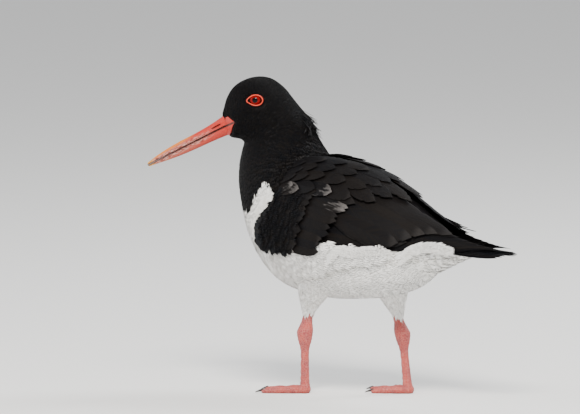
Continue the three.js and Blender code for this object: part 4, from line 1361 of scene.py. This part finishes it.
# Wing tiers: name and how many feathers, then pairs for the upper and the lower one: x of the root, x of the
# tip, angle of root and of tip round the wing form in degrees, and half width. Last, lift at root and tip.
WING_TIERS = [
    ("secondaries", 7, (14, -2), (70, 44), (70, 88), (75, 92), (8.5, 7), (-5.8, -2.6)),
    ("tertials", 5, (22, 6), (99, 66), (20, 62), (34, 77), (9, 11), (-4.6, -0.5)),
    ("greater", 10, (-22, -35), (27, 2), (44, 88), (50, 92), (6.5, 5.6), (-3.9, -0.7)),
    ("median", 10, (-36, -45), (-7, -18), (46, 88), (50, 91), (5.6, 4.8), (-3.5, -0.3)),
    ("lesser_low", 12, (-40, -49), (-20, -30), (47, 88), (49, 91), (4.4, 4), (-3.4, -0.7)),
    ("lesser_mid", 13, (-43, -53), (-27, -37), (49, 89), (50, 91), (4, 3.6), (-3.4, -0.8)),
    ("lesser_high", 13, (-46, -57), (-32, -42), (52, 90), (52, 92), (3.7, 3.3), (-3.4, -0.9)),
    ("marginal_low", 15, (-48, -60), (-37, -47), (55, 91), (55, 93), (3.4, 3), (-3.4, -1)),
    ("marginal", 15, (-50, -62), (-42, -52), (59, 92), (59, 94), (3, 2.7), (-3.8, -1.4)),
    ("scapular_rear", 3, (8, 2), (60, 44), (9, 32), (13, 40), (8, 8), (-3.8, 0.3)),
    ("scapular_5", 4, (-8, -10), (40, 26), (8, 42), (7, 46), (8, 7.4), (-3.6, 0.4)),
    ("scapular_4", 4, (-22, -26), (20, 8), (13, 46), (10, 47), (7.6, 7), (-3.5, 0.5)),
    ("scapular_3", 4, (-36, -40), (2, -8), (18, 48), (14, 48), (7.2, 6.6), (-3.4, 0.6)),
    ("scapular_2", 4, (-48, -52), (-14, -22), (24, 51), (18, 50), (6.6, 6), (-3.3, 0.6)),
    ("scapular_1", 4, (-58, -50), (-30, -30), (32, 52), (25, 51), (6, 5.2), (-3.2, 0.6)),
]
PRIMARIES = {
    "left": [
        ("primaries", 8, (60, 52), (101, 151), (52, 88), (24, 84), (6, 5), (-6, -1.2)),
    ],
    "right": [
        ("primaries", 8, (60, 52), (100, 141), (56, 88), (42, 85), (6, 5), (-6, -1.2)),
        ("raised_primaries", 3, (60, 56), (90, 113), (44, 60), (38, 15), (5.5, 4.5), (-5.5, 2.4)),
    ],
}
ROLL = 0.6

# Where feathers are worn pale, by x and height of their tips, and how pale their tiers are elsewhere
WORN_PLACES = [(-26, 161), (-18, 164), (0, 160), (9, 158), (23, 149)]
WORN_SHARE = {"tertials": 0.3, "greater": 0.12, "secondaries": 0.15}


def round_vane(s, c):
    """Width along a covert, with a round tip."""
    grown = mix(0.5, 1.0, smooth(s / 0.45))
    past = np.clip((s - 0.55) / 0.45, 0, 1)
    return grown * np.sqrt(np.clip(1 - past**2.4 * 0.985, 0, 1))


def sharp_vane(s, c):
    """Width along a primary, whose leading vane is the narrower, to a sharp tip."""
    grown = mix(0.55, 1.0, smooth(s / 0.35)) * np.where(c > 0, 0.75, 1.0)
    past = np.clip((s - 0.5) / 0.5, 0, 1)
    return grown * (1 - past**2.0 * 0.94)


class OYSTERCATCHER_OT_wings(bpy.types.Operator):
    """Closed wings: base, coverts, scapulars, tertials and flight feathers"""

    bl_idname = "oystercatcher.wings"
    bl_label = "Wings"

    def execute(self, context):
        for name, side in SIDES.items():
            form = WingForm(side)
            base = self.base(name, form)
            finish_piece(base, bpy.data.materials["skin"], [f"wing_{name}"])
            for tier in [*PRIMARIES[name], *WING_TIERS]:
                self.tier(name, form, tier)
            self.soft_coverts(name, form)
        return {"FINISHED"}

    def base(self, name, form):
        def place(v, angle):
            x = mix(-50.0, 84.0, v)
            upper = np.radians(mix(42.0, 4.0, smooth((x + 70) / 72)))
            lower = np.radians(mix(95.0, 84.0, smooth((x + 30) / 110)))
            thin = np.sqrt(np.clip(np.minimum(v, 1 - v) / 0.06, 0, 1))
            c, d = np.cos(angle), np.sin(angle)
            arc = (upper + lower) / 2 - (lower - upper) / 2 * d * thin
            outer, inner = mix(-4.2, -7.0, smooth((x + 20) / 50)), -10.0
            lift = (outer + inner) / 2 + (outer - inner) / 2 * np.sign(c) * np.abs(c) ** 0.5 * thin
            return form.place(x, arc, lift)

        piece = formed(f"wing_base_{name}", 64, 60, place)
        set_attribute(piece.data, "white", np.zeros(len(piece.data.vertices)))
        return piece

    def soft_coverts(self, name, form):
        """The loose small coverts over the bend of the wing, which hang ragged over its lower edge."""

        def loose(a, b, at):
            degrees = np.degrees(b)
            return (a > np.interp(degrees, *SOFT_FRONT)) & (a < mix(-21, -30, (degrees - 50) / 50))

        spread = (math.radians(51), math.radians(93))
        a, b = scatter(form, -65, -20, lambda a, b: 0 * a + 1.75, loose, 91 + SIDES[name], spread)
        rng = np.random.default_rng(95 + SIDES[name])
        count = len(a)
        down = smooth((np.degrees(b) - 72) / 26)
        turn = mix(0.12, 0.5, down * smooth((-20 - a) / 20)) + rng.normal(0, 0.14, count)
        shape = leaf(FLUFF, lobes=6, fan=0.9)
        lifts = (-2.6, rng.uniform(0.1, 0.9, count))
        half = rng.uniform(2.2, 3.2, count)
        places = lay(form, a, b, shape, rng.uniform(9, 13, count), half, lifts, 0.06, turn, curl=-0.3)
        tint = rng.uniform(0, 0.6, count)
        coat_mesh(f"coat_wing_{name}", form, a, b, shape, places, 0.0, tint)

    def tier(self, side_name, form, tier):
        name, count, *pairs, lifts = tier
        rng = np.random.default_rng(sum(map(ord, name + side_name)))
        root, tip, arc, tip_arc, half = (mix(*pair, np.linspace(0, 1, count)) for pair in pairs)
        small = (tip - root) / 40
        tip = tip + rng.normal(0, 1.0, count)
        arc = arc + rng.normal(0, 0.5, count)
        tip_arc = tip_arc + rng.normal(0, 0.7, count) / np.maximum(small, 0.5)
        half = half * rng.uniform(0.92, 1.1, count)
        notches = [(rng.uniform(0.5, 0.97), rng.choice((-1, 1)), rng.uniform(0.06, 0.2)) for _ in range(7)]
        long = float(np.mean(tip - root))
        rings = 34 if long > 45 else 24 if long > 25 else 14
        shape = slab_vane(rings, 10, sharp_vane if "primaries" in name else round_vane, notches)
        s, c, h = shape.s[None], shape.c[None], shape.h[None]
        x = root[:, None] + (tip - root)[:, None] * s
        middle = np.radians(mix(arc[:, None], tip_arc[:, None], s))
        level, top, wide = form.sizes(x)
        reach = np.hypot(wide * np.cos(middle), (top - level) * np.sin(middle))
        lift = mix(*lifts, s) + ROLL * (c + 1) / 2 + h * 0.17 - 0.5 * s**6
        places = form.place(x, middle + c * half[:, None] / reach, lift)
        worn = np.clip(rng.normal(WORN_SHARE.get(name, 0.06), 0.08, count), 0, 1)
        tips = places[:, np.argmax(shape.s - np.abs(shape.c)), :] - CENTRE_SHIFT
        for x_worn, z_worn in WORN_PLACES:
            worn[np.hypot(tips[:, 0] - x_worn, tips[:, 2] - z_worn) < 4.5] = rng.uniform(0.8, 1.0)
        tones = {"white": np.zeros(count), "tint": rng.uniform(0.35, 1, count), "worn": worn}
        piece = strewn_mesh(f"{name}_{side_name}", places, shape, *bake_cells(count), tones)
        finish_piece(piece, wing_feathers())


class OYSTERCATCHER_OT_flanks(bpy.types.Operator):
    """Long soft white feathers of the flank, from under the wing's lower edge"""

    bl_idname = "oystercatcher.flanks"
    bl_label = "Flanks"

    def execute(self, context):
        shape = leaf([(0.2, 0.9), (0.5, 1.0), (0.82, 0.8)], lobes=7, fan=0.8)
        for name, side in SIDES.items():
            self.flank(name, side, shape)
            self.overlap(name, side, shape)
        return {"FINISHED"}

    def flank(self, name, side, shape):
        form = BodyForm()
        rng = np.random.default_rng(61 + side)
        x, z, down = [], [], []
        for raised, rear in FLANK_ROWS:
            steps = np.linspace(FLANK_FRONT, rear, FLANK_IN_ROW) + rng.normal(0, 0.7, FLANK_IN_ROW)
            level = np.interp(steps, FLANK_X, FLANK_Z) + raised + rng.normal(0, 0.6, FLANK_IN_ROW)
            slope = mix(0.42, -0.06, smooth((steps + 30) / 75))
            x.append(steps - FLANK_LONG * np.cos(slope))
            z.append(level + FLANK_LONG * np.sin(slope))
            down.append(slope)
        x, z, down = (np.concatenate(part) for part in (x, z, down))
        a, b = form.find(x, z, side, (2.5, 12.5))
        count = len(a)
        lifts = (-1.4, rng.uniform(2.6, 3.1, count))
        turn = side * (down + rng.normal(0, 0.05, count))
        long = rng.uniform(24, 30, count)
        places = lay(form, a, b, shape, long, rng.uniform(3.2, 4.2, count), lifts, 0.06, turn, curl=-0.2)
        # Their tint varies a little at random but stays low, so that the flank is painted lighter than the
        # belly below it, as its lit side.
        tint = rng.uniform(0, 0.3, count)
        coat_mesh(f"coat_flank_{name}", form, a, b, shape, places, 1.0, tint, LONG_BAKE)

    def overlap(self, name, side, shape):
        """The white feathers that lap over the wing's lower edge in two waves."""
        form = WingForm(side)
        rng = np.random.default_rng(65 + side)
        a, b, turn = [], [], []
        for wave in OVERLAP_WAVES:
            for drop in OVERLAP_DROPS:
                x = np.linspace(wave[0][0], wave[-1][0], OVERLAP_IN_ROW) + rng.normal(0, 0.4, OVERLAP_IN_ROW)
                z = np.interp(x, *zip(*wave)) - drop + rng.normal(0, 0.35, OVERLAP_IN_ROW)
                rise = np.interp(x, (wave[0][0], wave[-1][0]), (0.4, -0.1))
                level, top, _ = form.sizes(x)
                a.append(x - OVERLAP_LONG * np.cos(rise))
                high = (z - OVERLAP_LONG * np.sin(rise) - level) / (top - level)
                b.append(np.arccos(np.clip(high, -0.7, 0.7)))
                turn.append(-rise)
        a, b, turn = (np.concatenate(part) for part in (a, b, turn))
        count = len(a)
        lifts = (-5.5, rng.uniform(1.2, 1.6, count))
        half = rng.uniform(2.0, 2.8, count)
        places = lay(form, a, b, shape, OVERLAP_LONG, half, lifts, 0.06, turn, curl=-0.3)
        tint = rng.uniform(0, 0.6, count)
        coat_mesh(f"coat_overlap_{name}", form, a, b, shape, places, 1.0, tint, LONG_BAKE)


class OYSTERCATCHER_OT_tail(bpy.types.Operator):
    """Tail feathers and the coverts above and below them"""

    bl_idname = "oystercatcher.tail"
    bl_label = "Tail"

    def execute(self, context):
        shape = slab_vane(34, 10, round_vane, [(0.9, 1, 0.1), (0.8, -1, 0.08)])
        pairs, root, tip = 6, (76, 121.5), (151, 118.2)
        rng = np.random.default_rng(71)
        places, tints = [], []
        for pair in range(pairs):
            share = pair / (pairs - 1)
            for side in SIDES.values():
                s, c, h = shape.s, shape.c, shape.h
                end = tip[0] - 7 * share**2 + rng.normal(0, 0.5)
                half = mix(4.5, 6.8, share)
                y = mix(1.4, 2.1, s) * (pair + 0.5) + c * half * mix(0.8, 1.1, s)
                y = y if pair == 0 else np.maximum(y, 0.5 * pair)
                top = 0.65 if pair == 0 and side < 0 else 0.0
                z = mix(root[1], tip[1], s) + top - pair * 0.62 - 1.6 * (y / 18) ** 2 + h * 0.16
                places.append(np.stack([mix(root[0], end, s), side * y, z], -1) + CENTRE_SHIFT)
                tints.append(rng.uniform(0, 0.6))
        count = len(places)
        tones = {"white": np.zeros(count), "tint": np.array(tints), "worn": rng.uniform(0, 0.25, count)}
        piece = strewn_mesh("tail_feathers", np.array(places), shape, bake_cells(count)[0], 0.22, tones)
        finish_piece(piece, wing_feathers(), ["tail"])
        self.coverts()
        return {"FINISHED"}

    def coverts(self):
        form = BodyForm()
        rng = np.random.default_rng(81)

        def rump(a, b, at):
            x, z = at[:, 0], at[:, 2]
            return (x > COVERTS_FROM) & ((z < COVERTS_TOP) | (x > COVERTS_BEHIND))

        a, b = scatter(form, 0.9, 3.4, lambda a, b: 0 * a + 2.6, rump, 82)
        count = len(a)
        shape = leaf([(0.2, 0.75), (0.55, 1.0), (0.85, 0.7)], lobes=3, fan=0.5)
        long = rng.uniform(14, 21, count)
        lifts = (-2.0, rng.uniform(0.2, 1.4, count))
        places = lay(form, a, b, shape, long, 3.2, lifts, 0.16, rng.normal(0, 0.1, count))
        tint = rng.uniform(0, 1, count)
        coat_mesh("coat_tail_coverts", form, a, b, shape, places, 1.0, tint)


class OYSTERCATCHER_PT_panel(bpy.types.Panel):
    bl_label = "Oystercatcher"
    bl_idname = "OYSTERCATCHER_PT_panel"
    bl_space_type = "VIEW_3D"
    bl_region_type = "UI"
    bl_category = "Oystercatcher"

    def draw(self, context):
        for operator in OPERATORS:
            self.layout.operator(operator.bl_idname)


OPERATORS = [
    OYSTERCATCHER_OT_stage,
    OYSTERCATCHER_OT_skin,
    OYSTERCATCHER_OT_head_coat,
    OYSTERCATCHER_OT_body_coat,
    OYSTERCATCHER_OT_bill,
    OYSTERCATCHER_OT_eyes,
    OYSTERCATCHER_OT_legs,
    OYSTERCATCHER_OT_wings,
    OYSTERCATCHER_OT_flanks,
    OYSTERCATCHER_OT_tail,
]
GROUPS = [FeatherLooks, BillLooks, EyeLooks, LegLooks, StageLooks, OystercatcherSettings]


def register():
    for item in [*GROUPS, *OPERATORS, OYSTERCATCHER_PT_panel]:
        bpy.utils.register_class(item)
    bpy.types.Scene.oystercatcher = PointerProperty(type=OystercatcherSettings)


def unregister():
    del bpy.types.Scene.oystercatcher
    for item in reversed([*GROUPS, *OPERATORS, OYSTERCATCHER_PT_panel]):
        bpy.utils.unregister_class(item)


def main():
    register()
    for operator in OPERATORS:
        group, name = operator.bl_idname.split(".")
        getattr(getattr(bpy.ops, group), name)()


if __name__ == "__main__":
    main()
